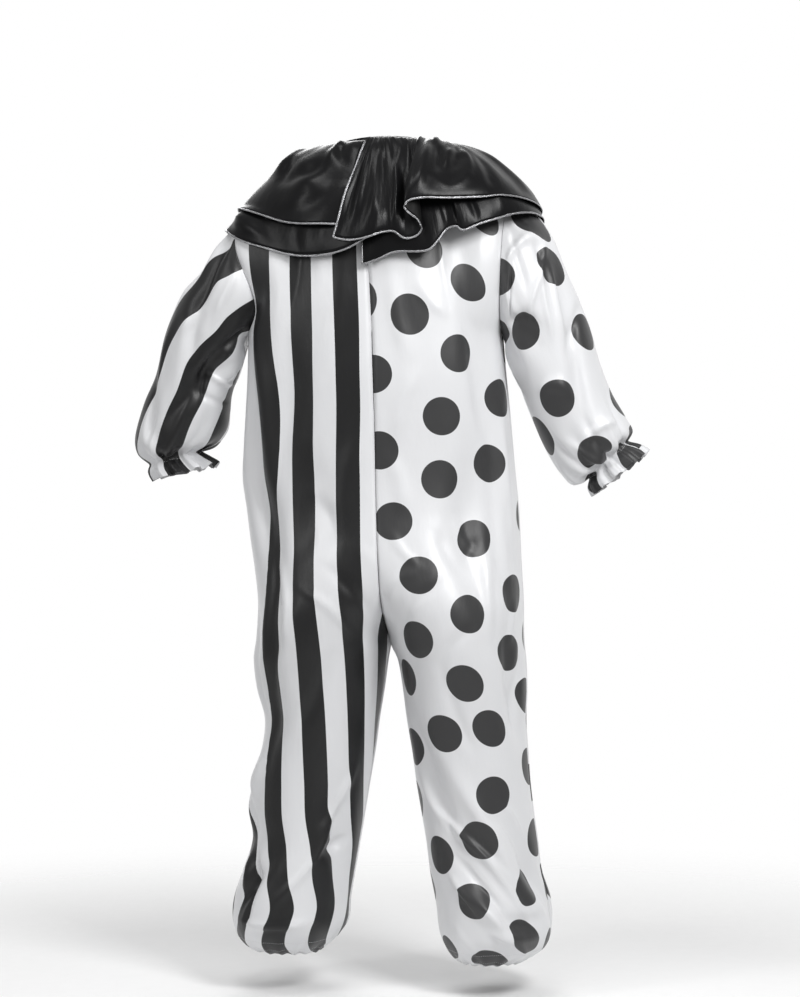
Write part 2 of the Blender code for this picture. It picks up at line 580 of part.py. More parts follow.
LOWER_SPOKES = [
    Spoke(0, 24, 0.040, 0.178, -0.230, 0.016, 0.004),
    Spoke(1, 16, 0.008, 0.180, -0.223, 0.014, 0.004),
    Spoke(2, 8, -0.031, 0.178, -0.210, 0.010, 0.002),
    Spoke(3, -1, -0.089, 0.180, -0.209, 0.010, 0.002),
    Spoke(4, -9, -0.111, 0.175, -0.190, 0.010, 0.000),
    Spoke(5, -16, -0.127, 0.168, -0.168, 0.010, -0.002),
    Spoke(6, -23, -0.146, 0.168, -0.162, 0.010, 0.000),
    Spoke(7, -30, -0.160, 0.170, -0.170, 0.012, 0.002),
    Spoke(8, -38, -0.191, 0.160, -0.157, 0.016, 0.002),
    Spoke(9, -47, -0.215, 0.148, -0.149, 0.022, 0.000),
    Spoke(10, -58, -0.250, 0.118, -0.142, 0.026, 0.000),
    Spoke(11, -70, -0.277, 0.080, -0.138, 0.028, 0.000),
    Spoke(12, -83, -0.293, 0.035, -0.140, 0.022, -0.002),
    Spoke(13, -97, -0.297, -0.022, -0.148, 0.022, -0.002),
    Spoke(14, -110, -0.276, -0.080, -0.168, 0.020, -0.002),
    Spoke(15, -123, -0.240, -0.116, -0.196, 0.018, 0.004),
    Spoke(16, -135, -0.196, -0.152, -0.204, 0.012, -0.004),
    Spoke(17, -146, -0.156, -0.158, -0.232, 0.012, 0.006),
    Spoke(18, -157, -0.112, -0.178, -0.222, 0.008, -0.004),
    Spoke(19, -167, -0.068, -0.170, -0.246, 0.008, 0.006),
    Spoke(20, -176, -0.026, -0.186, -0.232, 0.008, -0.004),
    Spoke(21, -186, 0.022, -0.172, -0.248, 0.008, 0.006),
    Spoke(22, -196, 0.070, -0.184, -0.232, 0.008, -0.004),
    Spoke(23, -207, 0.116, -0.164, -0.240, 0.010, 0.006),
    Spoke(24, -218, 0.162, -0.158, -0.218, 0.014, -0.004),
    Spoke(25, -230, 0.208, -0.128, -0.212, 0.020, 0.004),
    Spoke(26, -243, 0.254, -0.098, -0.190, 0.024, 0.000),
    Spoke(27, -256, 0.294, -0.046, -0.178, 0.022, -0.002),
    Spoke(28, -269, 0.316, 0.010, -0.166, 0.022, -0.004),
    Spoke(29, -281, 0.290, 0.066, -0.182, 0.022, -0.002),
    Spoke(30, -293, 0.232, 0.112, -0.198, 0.020, 0.002),
    Spoke(31, -305, 0.165, 0.144, -0.214, 0.012, 0.002),
    Spoke(32, -318, 0.104, 0.158, -0.222, 0.006, 0.000),
    Spoke(33, -338, 0.013, 0.160, -0.200, 0.002, -0.002),
]
CROWN_REACH = 0.38  # how far out, and how far up from the hem, a spoke's curve is pulled
HANG = 0.32
TIER_COLUMNS = 66  # two for each spoke
TIER_ROWS = 5
UPPER_SEAT = 0.0190  # height above the neckline at which each tier is sewn to the band
LOWER_SEAT = 0.0090
SEAT_TURN = 0.0040  # the strip's first end is sewn on this much above its last end
PLEAT = 0.0042  # height of the gathers, which go up and down from column to column
PLEAT_FREE = 4  # columns beside the strip's ends over which the gathers begin
TIER_CLEAR = 0.0085  # a tier's outside stays this far above the cloth under it
TIER_REACH = 0.0300  # how far off a cloth is looked for


def band_point(angle, rise, out):
    """A point above the neckline, out from its wall. angle is in degrees."""
    radians = math.radians(angle)
    away = Vector((math.sin(radians) / NECK_WIDE, math.cos(radians) / NECK_DEEP, 0)).normalized()
    return neck_point(radians) + away * out + UP * rise


def resting(point, cloths):
    """The point, moved out where it would come too near to the cloth under it."""
    for skin in cloths:
        nearest, normal, _, distance = skin.find_nearest(point)
        height = (point - nearest).dot(normal)
        if distance < TIER_REACH and height < TIER_CLEAR:
            point = point + normal * (TIER_CLEAR - height)
    return point


def tier_point(spokes, seat, column, row):
    """A point of a tier's upper side, on a curve from the band over the crown to the hem."""
    last = len(spokes) - 1
    spoke = read(spokes, last * column / TIER_COLUMNS)
    seat += SEAT_TURN * (0.5 - column / TIER_COLUMNS)
    down = row / TIER_ROWS
    neck = band_point(spoke.neck, seat, 2 * SEAM)
    hem = Vector((spoke.x, spoke.y, spoke.z))
    out = Vector((hem.x - neck.x, hem.y - neck.y, 0))
    over = neck + out * CROWN_REACH + UP * spoke.lift
    fall = hem + UP * HANG * (neck.z - hem.z) + out.normalized() * spoke.flare
    up = 1 - down
    point = neck * up**3 + over * 3 * up * up * down + fall * 3 * up * down * down + hem * down**3
    pleat = PLEAT * smooth(min(column, TIER_COLUMNS - column) / PLEAT_FREE)
    return point + UP * pleat * (-1) ** column * math.sin(math.pi * min(1.0, down * 2))


Tier = namedtuple("Tier", "points normals skin")


def tier(name, spokes, seat, under, finish):
    """One tier of the ruffled collar, a long strip gathered on the neckband."""
    grid = [
        [tier_point(spokes, seat, column, row) for row in range(TIER_ROWS + 1)]
        for column in range(TIER_COLUMNS + 1)
    ]
    points = [line[:1] + [resting(point, under) for point in line[1:]] for line in grid]
    normals = []
    for column, line in enumerate(points):
        before, after = points[max(column - 1, 0)], points[min(column + 1, TIER_COLUMNS)]
        normals.append([UP])
        for row in range(1, TIER_ROWS + 1):
            fall = line[min(row + 1, TIER_ROWS)] - line[row - 1]
            normals[column].append(fall.cross(after[row] - before[row]).normalized())

    def place(column, row):
        return points[column][row], normals[column][row]

    return Tier(points, normals, cloth_wall(name, TIER_COLUMNS, TIER_ROWS, place, finish))


def neckband(finish):
    """The strip that both tiers are gathered on. It stands on the neckline and closes at the back."""

    def place(column, row):
        angle = BAND_CLOSE - 360 * column / BAND_SEGMENTS
        if column == BAND_SEGMENTS:
            angle += math.degrees(2 * SEAM / NECK_WIDE)
        point = band_point(angle, SEAM + BAND_HEIGHT * row, 0)
        inside = band_point(angle, SEAM + BAND_HEIGHT * row, -WALL)
        return point, (point - inside).normalized()

    return cloth_wall("collar_band", BAND_SEGMENTS, 1, place, finish)


BRAID_WIDE = 0.0045
BRAID_THICK = 0.0026
BRAID_START = 2  # the row of a tier's end edge where the braid begins


def braid(name, edged, finish):
    """The metallic braid round a tier: down one end of the strip, along its hem and up the other."""
    rows = range(BRAID_START, TIER_ROWS)
    path = [(0, row) for row in rows]
    path += [(column, TIER_ROWS) for column in range(TIER_COLUMNS + 1)]
    path += [(TIER_COLUMNS, row) for row in reversed(rows)]
    normals = [edged.normals[column][row] for column, row in path]
    middle = [
        edged.points[column][row] - normal * WALL / 2 for (column, row), normal in zip(path, normals)
    ]
    sides = []
    for i in range(len(path) - 1):
        ahead = (middle[i + 1] - middle[i]).normalized()
        sides.append(ahead.cross(normals[i]).normalized())

    def place(column, row):
        before, after = sides[max(column - 1, 0)], sides[min(column, len(sides) - 1)]
        side = (before + after).normalized()
        side /= max(0.5, side.dot(after))
        start = middle[column] + side * (SEAM + BRAID_WIDE * row)
        return start + normals[column] * BRAID_THICK / 2, normals[column]

    return cloth_wall(name, len(path) - 1, 1, place, finish, thick=BRAID_THICK)


# ---------------------------------------------------------------- the costume


def main():
    for item in list(bpy.data.objects):
        bpy.data.objects.remove(item)
    striped = material("striped_satin", WHITE_SATIN, 0.38)
    dotted = material("dotted_satin", WHITE_SATIN, 0.38)
    black = material("black_satin", BLACK_SATIN, 0.32)
    silver = material("silver_braid", SILVER_BRAID, 0.30, 0.9)
    suit = []
    for half, finish in ((LEFT, striped), (RIGHT, dotted)):
        suit += panel(half, 1, finish) + panel(half, -1, finish) + [sleeve(half, finish)]
    neckband(black)
    lower = tier("collar_lower", LOWER_SPOKES, LOWER_SEAT, suit, black)
    upper = tier("collar_upper", UPPER_SPOKES, UPPER_SEAT, suit + [lower.skin], black)
    braid("braid_lower", lower, silver)
    braid("braid_upper", upper, silver)


main()
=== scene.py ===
import math
from collections import namedtuple

import bmesh
import bpy
from mathutils import Matrix, Vector, noise
from mathutils.bvhtree import BVHTree


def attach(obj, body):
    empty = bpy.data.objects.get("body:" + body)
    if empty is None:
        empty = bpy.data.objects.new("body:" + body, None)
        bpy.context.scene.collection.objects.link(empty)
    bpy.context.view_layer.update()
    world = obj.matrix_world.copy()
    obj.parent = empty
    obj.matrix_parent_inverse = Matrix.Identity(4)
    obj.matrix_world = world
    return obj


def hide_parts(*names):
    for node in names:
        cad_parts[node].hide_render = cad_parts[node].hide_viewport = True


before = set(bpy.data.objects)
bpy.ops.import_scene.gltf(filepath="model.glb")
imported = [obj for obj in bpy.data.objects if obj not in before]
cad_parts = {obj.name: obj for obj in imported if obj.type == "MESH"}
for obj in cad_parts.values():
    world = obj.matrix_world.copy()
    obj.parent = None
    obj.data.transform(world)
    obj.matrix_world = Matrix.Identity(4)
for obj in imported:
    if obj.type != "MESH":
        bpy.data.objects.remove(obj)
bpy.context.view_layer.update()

# ------------------------------------------------------------ the suit's fronts and backs
# Each front and back is one length of polyester satin, cut from the shoulder to the ankle and sewn
# to its neighbours at the centre, the side and the inner leg. The left half is printed with lengthwise
# stripes and the right half with dots. An elastic in the narrow hem gathers each ankle.

SEAM = 0.0003  # clearance between two sewn pieces
STEP = 1e-4  # step for slopes
UP = Vector((0, 0, 1))
CLOTH = 0.0008  # the satin's thickness


def smooth(share):
    """0 to 1 with level ends."""
    share = min(1.0, max(0.0, share))
    return share * share * (3 - 2 * share)


def read(table, at):
    """The row of a table at a place between its rows, on a smooth curve.

    A table's first column is the place."""
    places = [row[0] for row in table]
    falling = places[0] > places[-1]
    i = 0
    while i < len(table) - 2 and ((at < places[i + 1]) if falling else (at > places[i + 1])):
        i += 1
    before, low = table[max(i - 1, 0)], table[i]
    high, after = table[i + 1], table[min(i + 2, len(table) - 1)]
    span = high[0] - low[0]
    t = (at - low[0]) / span
    values = [at]
    for k in range(1, len(low)):
        slope_low = (high[k] - before[k]) / (high[0] - before[0]) * span
        slope_high = (after[k] - low[k]) / (after[0] - low[0]) * span
        values.append(
            (2 * t**3 - 3 * t**2 + 1) * low[k]
            + (t**3 - 2 * t**2 + t) * slope_low
            + (3 * t**2 - 2 * t**3) * high[k]
            + (t**3 - t**2) * slope_high
        )
    return type(low)(*values)


# Level sections of one half of the suit, from the underarm to the ankle. outer is the side seam.
# inner is the centre seam down to the crotch, and the inseam below it. Both are measured from the
# origin towards that half's own side. back, front and side are depths (+Y) of the back, the front
# and the side seam.
Section = namedtuple("Section", "z outer inner side back front")

LEFT_SECTIONS = [Section(*row) for row in (
    (-0.365, 0.2825, 0.015, 0, 0.168, -0.16),
    (-0.44, 0.2847, 0.013, 0, 0.17, -0.178),
    (-0.52, 0.289, 0.011, 0, 0.166, -0.196),
    (-0.585, 0.2925, 0.01, 0, 0.163, -0.208),
    (-0.645, 0.2945, 0.009, 0, 0.163, -0.215),
    (-0.702, 0.2867, 0.007, 0, 0.168, -0.216),
    (-0.76, 0.2789, 0.004, 0.002, 0.178, -0.21),
    (-0.82, 0.2691, 0.001, 0.004, 0.188, -0.198),
    (-0.878, 0.2613, 0, 0.007, 0.194, -0.182),
    (-0.92, 0.2613, 0, 0.009, 0.192, -0.168),
    (-0.959, 0.264, 0.0006, 0.011, 0.186, -0.154),
    (-0.995, 0.2691, 0.0059, 0.012, 0.178, -0.142),
    (-1.053, 0.2633, 0.0137, 0.012, 0.166, -0.13),
    (-1.112, 0.2477, 0.0234, 0.012, 0.154, -0.124),
    (-1.17, 0.2535, 0.0312, 0.012, 0.147, -0.122),
    (-1.229, 0.2672, 0.041, 0.012, 0.143, -0.124),
    (-1.287, 0.2691, 0.0507, 0.012, 0.142, -0.122),
    (-1.346, 0.2652, 0.0605, 0.012, 0.146, -0.118),
    (-1.404, 0.2867, 0.0702, 0.014, 0.156, -0.12),
    (-1.463, 0.3081, 0.08, 0.016, 0.164, -0.124),
    (-1.505, 0.3115, 0.084, 0.017, 0.162, -0.122),
    (-1.535, 0.304, 0.102, 0.016, 0.142, -0.102),
    (-1.555, 0.288, 0.125, 0.014, 0.112, -0.078),
    (-1.566, 0.272, 0.138, 0.013, 0.084, -0.058),
)]
RIGHT_SECTIONS = [Section(*row) for row in (
    (-0.365, 0.216, -0.015, 0, 0.168, -0.16),
    (-0.44, 0.2223, -0.013, 0, 0.17, -0.178),
    (-0.52, 0.2305, -0.011, 0, 0.166, -0.196),
    (-0.585, 0.237, -0.01, 0, 0.163, -0.208),
    (-0.645, 0.2429, -0.009, 0, 0.163, -0.215),
    (-0.702, 0.2487, -0.007, 0, 0.168, -0.216),
    (-0.76, 0.252, -0.004, 0.002, 0.178, -0.21),
    (-0.82, 0.2551, -0.001, 0.004, 0.188, -0.198),
    (-0.878, 0.2585, 0, 0.007, 0.194, -0.182),
    (-0.92, 0.259, 0, 0.009, 0.192, -0.168),
    (-0.959, 0.2605, 0.0006, 0.011, 0.186, -0.154),
    (-0.995, 0.2643, 0.0156, 0.012, 0.178, -0.142),
    (-1.053, 0.2663, 0.0254, 0.012, 0.166, -0.13),
    (-1.112, 0.2643, 0.0332, 0.012, 0.156, -0.125),
    (-1.17, 0.2682, 0.0429, 0.012, 0.149, -0.122),
    (-1.229, 0.2721, 0.0507, 0.012, 0.145, -0.122),
    (-1.287, 0.279, 0.0605, 0.012, 0.143, -0.121),
    (-1.346, 0.2878, 0.0702, 0.012, 0.145, -0.12),
    (-1.404, 0.295, 0.078, 0.014, 0.152, -0.122),
    (-1.463, 0.3132, 0.0897, 0.016, 0.162, -0.126),
    (-1.521, 0.3152, 0.0975, 0.017, 0.16, -0.124),
    (-1.55, 0.3015, 0.109, 0.016, 0.142, -0.104),
    (-1.57, 0.275, 0.123, 0.014, 0.112, -0.08),
    (-1.58, 0.254, 0.133, 0.013, 0.082, -0.056),
)]
CHEST = -0.365  # level of the underarms
CROTCH = -0.959
WAIST = -0.700  # above it the two halves share one round trunk
BOX_CHEST = 0.82  # how square the chest's section is: 1 is an ellipse
SEAM_CALM = 24  # degrees beside a centre seam over which the folds die away

# The largest folds. at is the level of the middle; around is the angle round a half from its back
# (0) past the side seam (90) to its front (180), and width is in the same degrees; lean is how far
# the fold turns round for each metre up; depth is outwards.
Fold = namedtuple("Fold", "at around length width lean depth")

LEFT_FOLDS = [Fold(*row) for row in (
    (-0.56, 66, 0.15, 10, 40, -0.019), (-0.47, 34, 0.13, 9, -50, -0.012),
    (-0.79, 50, 0.13, 10, 60, -0.017), (-0.64, 118, 0.14, 12, -50, -0.019),
    (-0.86, 140, 0.11, 11, 70, -0.016), (-1.06, 40, 0.12, 12, -80, -0.016),
    (-1.25, 66, 0.11, 12, -120, 0.014), (-1.33, -46, 0.08, 13, 160, -0.019),
    (-1.44, 46, 0.06, 12, -260, -0.019), (-1.45, 122, 0.07, 13, 200, -0.019),
    (-1.18, 150, 0.12, 13, -90, -0.016), (-1.36, 190, 0.09, 13, 120, -0.016),
)]
RIGHT_FOLDS = [Fold(*row) for row in (
    (-0.47, 60, 0.14, 10, -40, -0.017), (-0.72, 42, 0.14, 10, 50, -0.019),
    (-0.65, 120, 0.15, 12, 40, -0.019), (-0.85, 142, 0.11, 11, -60, -0.016),
    (-1.03, 58, 0.11, 12, -90, -0.017), (-1.23, -34, 0.12, 12, -150, -0.016),
    (-1.33, 22, 0.11, 10, -240, 0.016), (-1.4, 62, 0.08, 12, -260, -0.017),
    (-1.47, 6, 0.05, 10, -420, 0.017), (-1.2, 148, 0.12, 13, 90, -0.016),
    (-1.45, 132, 0.07, 13, -200, -0.019), (-1.35, 200, 0.09, 13, -120, -0.016),
)]


def split(z):
    """0 where the halves are one trunk, 1 where they are two legs."""
    return smooth((WAIST - z) / (WAIST - CROTCH))


def half_ring(half, z):
    """Centre, reach and section of one half's ellipse at a level."""
    section = read(half.sections, z)
    width = section.outer - section.inner
    share = split(z)
    return section.inner + width * share / 2, width * (1 - share / 2), section


def seam_angle(half, z):
    """Where the ring meets the centre seam, or the inseam from the crotch down."""
    centre, reach, section = half_ring(half, z)
    if z <= CROTCH + STEP:
        return -math.pi / 2 + SEAM / 2 / (section.back - section.side)
    return math.asin((section.inner + SEAM / 2 - centre) / reach)


def power(value, exponent):
    return math.copysign(abs(value) ** exponent, value)


def fold_height(folds, degrees, at):
    """How far the folds move the cloth in or out at an angle and a level."""
    height = 0.0
    for fold in folds:
        round_from = degrees - fold.around - fold.lean * (at - fold.at)
        across = ((round_from + 180) % 360 - 180) / fold.width
        along = (at - fold.at) / fold.length
        height += fold.depth * math.exp(-across * across - along * along)
    return height


def body_point(half, angle, z):
    """A point of the suit's outside. angle is 0 at the back, 90 degrees at the side seam."""
    centre, reach, section = half_ring(half, z)
    boxy = BOX_CHEST + (1 - BOX_CHEST) * smooth((CHEST - z) / (CHEST - WAIST))
    sine, cosine = math.sin(angle), math.cos(angle)
    depth = section.back - section.side if cosine > 0 else section.side - section.front
    degrees, seam = math.degrees(angle), math.degrees(seam_angle(half, z))
    calm = smooth((degrees - seam) / SEAM_CALM) * smooth((180 - seam - degrees) / SEAM_CALM)
    height = fold_height(half.folds, degrees, z) * calm
    x = centre + reach * power(sine, boxy) + height * sine
    y = section.side + depth * power(cosine, boxy) + height * cosine
    return Vector((half.sign * x, y, z))


# Rings of a sleeve from the armhole to the frill's edge. outer and inner are the ends of the ring's
# width, at the shoulder's side and the underarm's side, measured outwards and up. deep is half the
# ring's depth, and ahead is the depth (+Y) of its middle. lean moves the armhole's upper quarters
# outwards and its lower quarters inwards. A sleeve's folds have their middle and length in rings.
Ring = namedtuple("Ring", "place outer_x outer_z inner_x inner_z deep ahead lean")

LEFT_RINGS = [Ring(*row) for row in (
    (0, 0.27, -0.124, 0.2825, -0.365, 0.092, 0, 0.06),
    (1, 0.301, -0.152, 0.292, -0.383, 0.1, 0, 0.028),
    (2, 0.339, -0.184, 0.2965, -0.403, 0.102, -0.004, 0.01),
    (3, 0.375, -0.235, 0.3, -0.425, 0.1, -0.008, 0),
    (4, 0.412, -0.275, 0.308, -0.447, 0.098, -0.012, 0),
    (5, 0.436, -0.323, 0.319, -0.466, 0.097, -0.018, 0),
    (6, 0.456, -0.372, 0.3255, -0.487, 0.096, -0.025, 0),
    (7, 0.474, -0.441, 0.3285, -0.513, 0.096, -0.032, 0),
    (8, 0.5, -0.497, 0.334, -0.54, 0.095, -0.04, 0),
    (9, 0.52, -0.56, 0.345, -0.562, 0.09, -0.045, 0),
    (10, 0.517, -0.596, 0.362, -0.578, 0.08, -0.048, 0),
    (11, 0.492, -0.616, 0.39, -0.59, 0.052, -0.05, 0),
    (12, 0.492, -0.633, 0.372, -0.606, 0.06, -0.052, 0),
    (13, 0.482, -0.648, 0.356, -0.618, 0.067, -0.054, 0),
)]
RIGHT_RINGS = [Ring(*row) for row in (
    (0, 0.228, -0.1, 0.216, -0.365, 0.096, 0, 0),
    (1, 0.256, -0.119, 0.224, -0.385, 0.102, 0, 0),
    (2, 0.287, -0.138, 0.229, -0.405, 0.104, -0.004, 0),
    (3, 0.316, -0.182, 0.237, -0.43, 0.104, -0.008, 0),
    (4, 0.338, -0.239, 0.248, -0.46, 0.101, -0.012, 0),
    (5, 0.363, -0.298, 0.261, -0.497, 0.099, -0.018, 0),
    (6, 0.386, -0.358, 0.274, -0.533, 0.097, -0.025, 0),
    (7, 0.402, -0.416, 0.287, -0.567, 0.096, -0.032, 0),
    (8, 0.424, -0.475, 0.303, -0.598, 0.096, -0.04, 0),
    (9, 0.45, -0.52, 0.324, -0.632, 0.091, -0.045, 0),
    (10, 0.464, -0.55, 0.35, -0.656, 0.08, -0.048, 0),
    (11, 0.453, -0.572, 0.382, -0.642, 0.053, -0.05, 0),
    (12, 0.476, -0.582, 0.383, -0.662, 0.062, -0.052, 0),
    (13, 0.494, -0.594, 0.392, -0.676, 0.07, -0.054, 0),
)]
LEFT_SLEEVE_FOLDS = [Fold(*row) for row in (
    (3, 62, 2.2, 14, 12, -0.013), (6, 112, 2, 14, -14, -0.014), (8.6, 58, 1.2, 13, 16, -0.01),
    (5, -92, 2.5, 15, 8, -0.013), (8.4, -50, 1.4, 14, -12, -0.01),
)]
RIGHT_SLEEVE_FOLDS = [Fold(*row) for row in (
    (2.8, 116, 2, 14, -12, -0.013), (6.2, 58, 2.4, 14, 10, -0.014), (8.8, 104, 1.2, 13, 6, -0.01),
    (5, -84, 2.5, 15, -8, -0.013), (8.4, -128, 1.4, 14, 12, -0.01),
)]
ELASTIC_RING = 11
LAST_RING = 13


def sleeve_point(half, turn, place):
    """A point of a sleeve's outside. turn is 0 at the top of the shoulder, 90 degrees at the back."""
    ring = read(half.rings, place)
    outer = Vector((half.sign * ring.outer_x, ring.ahead, ring.outer_z))
    inner = Vector((half.sign * ring.inner_x, ring.ahead, ring.inner_z))
    middle, across = (outer + inner) / 2, (outer - inner) / 2
    point = middle + across * math.cos(turn)
    point.x += half.sign * ring.lean * math.cos(turn) * math.sin(turn) ** 2
    point.y += ring.deep * math.sin(turn)
    height = fold_height(half.sleeve_folds, math.degrees(turn), place)
    return point + (point - middle).normalized() * height


# Creases that the cloth takes between its seams, each a soft trough or ridge between two places:
# around and at as above, width half its width and height how far it stands out (or in) in metres,
# bow how far its middle swings sideways, which is 0 where a row leaves it out.
Crease = namedtuple("Crease", "around at to_around to_at width height bow", defaults=[0])

LEFT_CREASES = [Crease(*row) for row in (
    (10, -0.235, 17, -0.42, 0.012, 0.0045, 0.006),
    (4, -0.56, 14, -0.74, 0.013, 0.005, -0.008),
    (26, -0.6, 30, -0.79, 0.022, -0.007, 0.004),
    (40, -0.25, 36, -0.52, 0.016, -0.004, 0.006),
    (60, -0.38, 48, -0.64, 0.018, 0.006, 0.01),
    (72, -0.52, 58, -0.76, 0.014, -0.009, -0.006),
    (24, -0.68, 14, -0.78, 0.01, -0.0045, 0.004),
    (2, -0.77, -30, -0.865, 0.007, 0.0042, 0.004),
    (12, -0.81, -40, -0.9, 0.007, -0.0042, -0.003),
    (22, -0.85, -30, -0.93, 0.007, 0.0036, 0.004),
    (46, -0.8, 22, -0.945, 0.01, 0.0055, 0.006),
    (20, -0.88, 34, -1.06, 0.018, 0.005, 0.008),
    (52, -0.76, 44, -1, 0.015, 0.006, -0.01),
    (70, -0.9, 60, -1.12, 0.014, -0.007, 0.008),
    (-20, -0.975, 6, -1.11, 0.016, -0.006, 0.01),
    (-52, -1.2, -20, -1.33, 0.013, 0.006, 0.01),
    (-36, -1.29, 4, -1.45, 0.011, 0.0075, 0.012),
    (-60, -1.34, -30, -1.36, 0.012, -0.009, 0.004),
    (-30, -1.492, 44, -1.496, 0.008, 0.0065, 0.008),
    (-10, -1.512, 30, -1.52, 0.008, -0.004, -0.004),
    (52, -1.37, 36, -1.5, 0.01, -0.012, 0.014),
    (66, -1.36, 52, -1.5, 0.012, 0.008, 0.012),
    (74, -1.23, 60, -1.33, 0.014, -0.007, 0.006),
    (172, -0.29, 160, -0.4, 0.01, 0.0042, 0.004),
    (166, -0.7, 156, -0.8, 0.01, -0.0045, 0.004),
    (178, -0.775, 206, -0.88, 0.007, 0.0042, -0.004),
    (168, -0.82, 208, -0.905, 0.007, -0.004, 0.003),
    (134, -0.79, 158, -0.93, 0.01, 0.0055, -0.006),
    (146, -1.06, 170, -1.17, 0.011, -0.005, 0.006),
    (118, -1.24, 152, -1.32, 0.009, 0.006, -0.006),
    (112, -0.4, 122, -0.64, 0.018, -0.006, 0.01),
    (140, -0.32, 150, -0.56, 0.016, 0.005, -0.008),
    (158, -0.52, 150, -0.72, 0.018, -0.006, 0.008),
    (128, -0.7, 140, -0.93, 0.016, 0.007, 0.01),
    (110, -0.86, 124, -1.08, 0.015, -0.007, -0.008),
    (165, -0.94, 150, -1.12, 0.016, 0.006, 0.01),
    (200, -1.02, 176, -1.2, 0.015, -0.006, 0.008),
    (140, -1.18, 166, -1.38, 0.013, 0.0065, 0.012),
    (112, -1.3, 136, -1.45, 0.012, -0.008, -0.01),
    (214, -1.28, 184, -1.43, 0.012, 0.007, 0.012),
    (126, -1.49, 190, -1.5, 0.009, 0.0065, 0.006),
)]
RIGHT_CREASES = [Crease(*row) for row in (
    (8, -0.24, 12, -0.4, 0.01, 0.0045, 0.004),
    (16, -0.44, 8, -0.56, 0.009, 0.004, 0.004),
    (6, -0.6, 12, -0.7, 0.01, 0.0045, -0.004),
    (20, -0.26, 34, -0.33, 0.01, 0.0035, 0.006),
    (50, -0.3, 56, -0.56, 0.018, -0.0045, 0.006),
    (62, -0.56, 58, -0.86, 0.016, -0.007, 0.006),
    (74, -0.52, 68, -0.8, 0.014, 0.006, -0.004),
    (36, -0.72, 44, -0.79, 0.008, 0.0035, 0.004),
    (46, -0.76, 38, -0.8, 0.007, -0.003, 0.002),
    (4, -0.74, 8, -0.805, 0.007, 0.0036, 0.003),
    (6, -0.812, -30, -0.88, 0.007, 0.0042, 0.004),
    (14, -0.838, -34, -0.92, 0.007, -0.004, 0.003),
    (26, -0.745, 32, -0.83, 0.009, -0.0042, 0.005),
    (51, -0.79, 41, -0.935, 0.01, 0.006, 0.004),
    (70, -0.69, 71, -0.82, 0.01, -0.0045, 0.004),
    (22, -0.925, -12, -0.998, 0.01, -0.0042, 0.005),
    (56, -0.84, 50, -1.02, 0.014, 0.005, 0.006),
    (70, -0.88, 60, -0.96, 0.009, 0.0035, 0.004),
    (78, -0.96, 62, -1.12, 0.013, -0.006, 0.006),
    (-10, -1, 12, -1.16, 0.016, -0.005, 0.008),
    (-56, -1.22, -20, -1.33, 0.012, 0.005, 0.006),
    (-36, -1.28, 42, -1.472, 0.009, 0.0095, -0.022),
    (-24, -1.36, 26, -1.5, 0.009, -0.006, -0.014),
    (22, -1.3, 44, -1.38, 0.008, 0.006, -0.006),
    (38, -1.265, 56, -1.335, 0.008, 0.005, -0.006),
    (6, -1.35, 40, -1.43, 0.007, 0.005, -0.006),
    (-30, -1.4, -4, -1.48, 0.007, 0.005, -0.004),
    (4, -1.505, 44, -1.552, 0.007, 0.007, -0.008),
    (6, -1.5, 56, -1.52, 0.008, 0.006, 0.006),
    (18, -1.478, 70, -1.486, 0.013, -0.01, 0.004),
    (-34, -1.5, -4, -1.56, 0.009, 0.0045, 0.004),
    (172, -0.25, 168, -0.38, 0.01, 0.0042, 0.004),
    (176, -0.8, 210, -0.885, 0.007, 0.0042, 0.004),
    (166, -0.845, 212, -0.925, 0.007, -0.004, -0.003),
    (150, -0.76, 144, -0.85, 0.009, -0.0042, 0.005),
    (128, -0.8, 140, -0.95, 0.01, 0.0058, 0.004),
    (140, -1.25, 174, -1.33, 0.009, 0.0055, -0.006),
    (120, -1.42, 160, -1.45, 0.01, -0.006, 0.004),
    (112, -0.36, 124, -0.62, 0.018, -0.006, 0.01),
    (148, -0.33, 140, -0.54, 0.016, 0.005, 0.008),
    (160, -0.54, 146, -0.74, 0.018, -0.006, -0.008),
    (122, -0.74, 138, -0.96, 0.016, 0.007, 0.01),
    (166, -0.9, 152, -1.09, 0.016, -0.006, 0.008),
    (108, -0.94, 128, -1.14, 0.015, -0.0065, 0.008),
    (196, -1.06, 172, -1.22, 0.014, 0.006, 0.01),
    (130, -1.18, 170, -1.4, 0.01, 0.0085, -0.018),
    (150, -1.16, 196, -1.35, 0.01, 0.0065, -0.012),
    (112, -1.33, 150, -1.47, 0.01, -0.007, -0.01),
    (210, -1.32, 176, -1.46, 0.011, 0.007, 0.012),
    (124, -1.49, 194, -1.506, 0.01, 0.007, 0.006),
)]
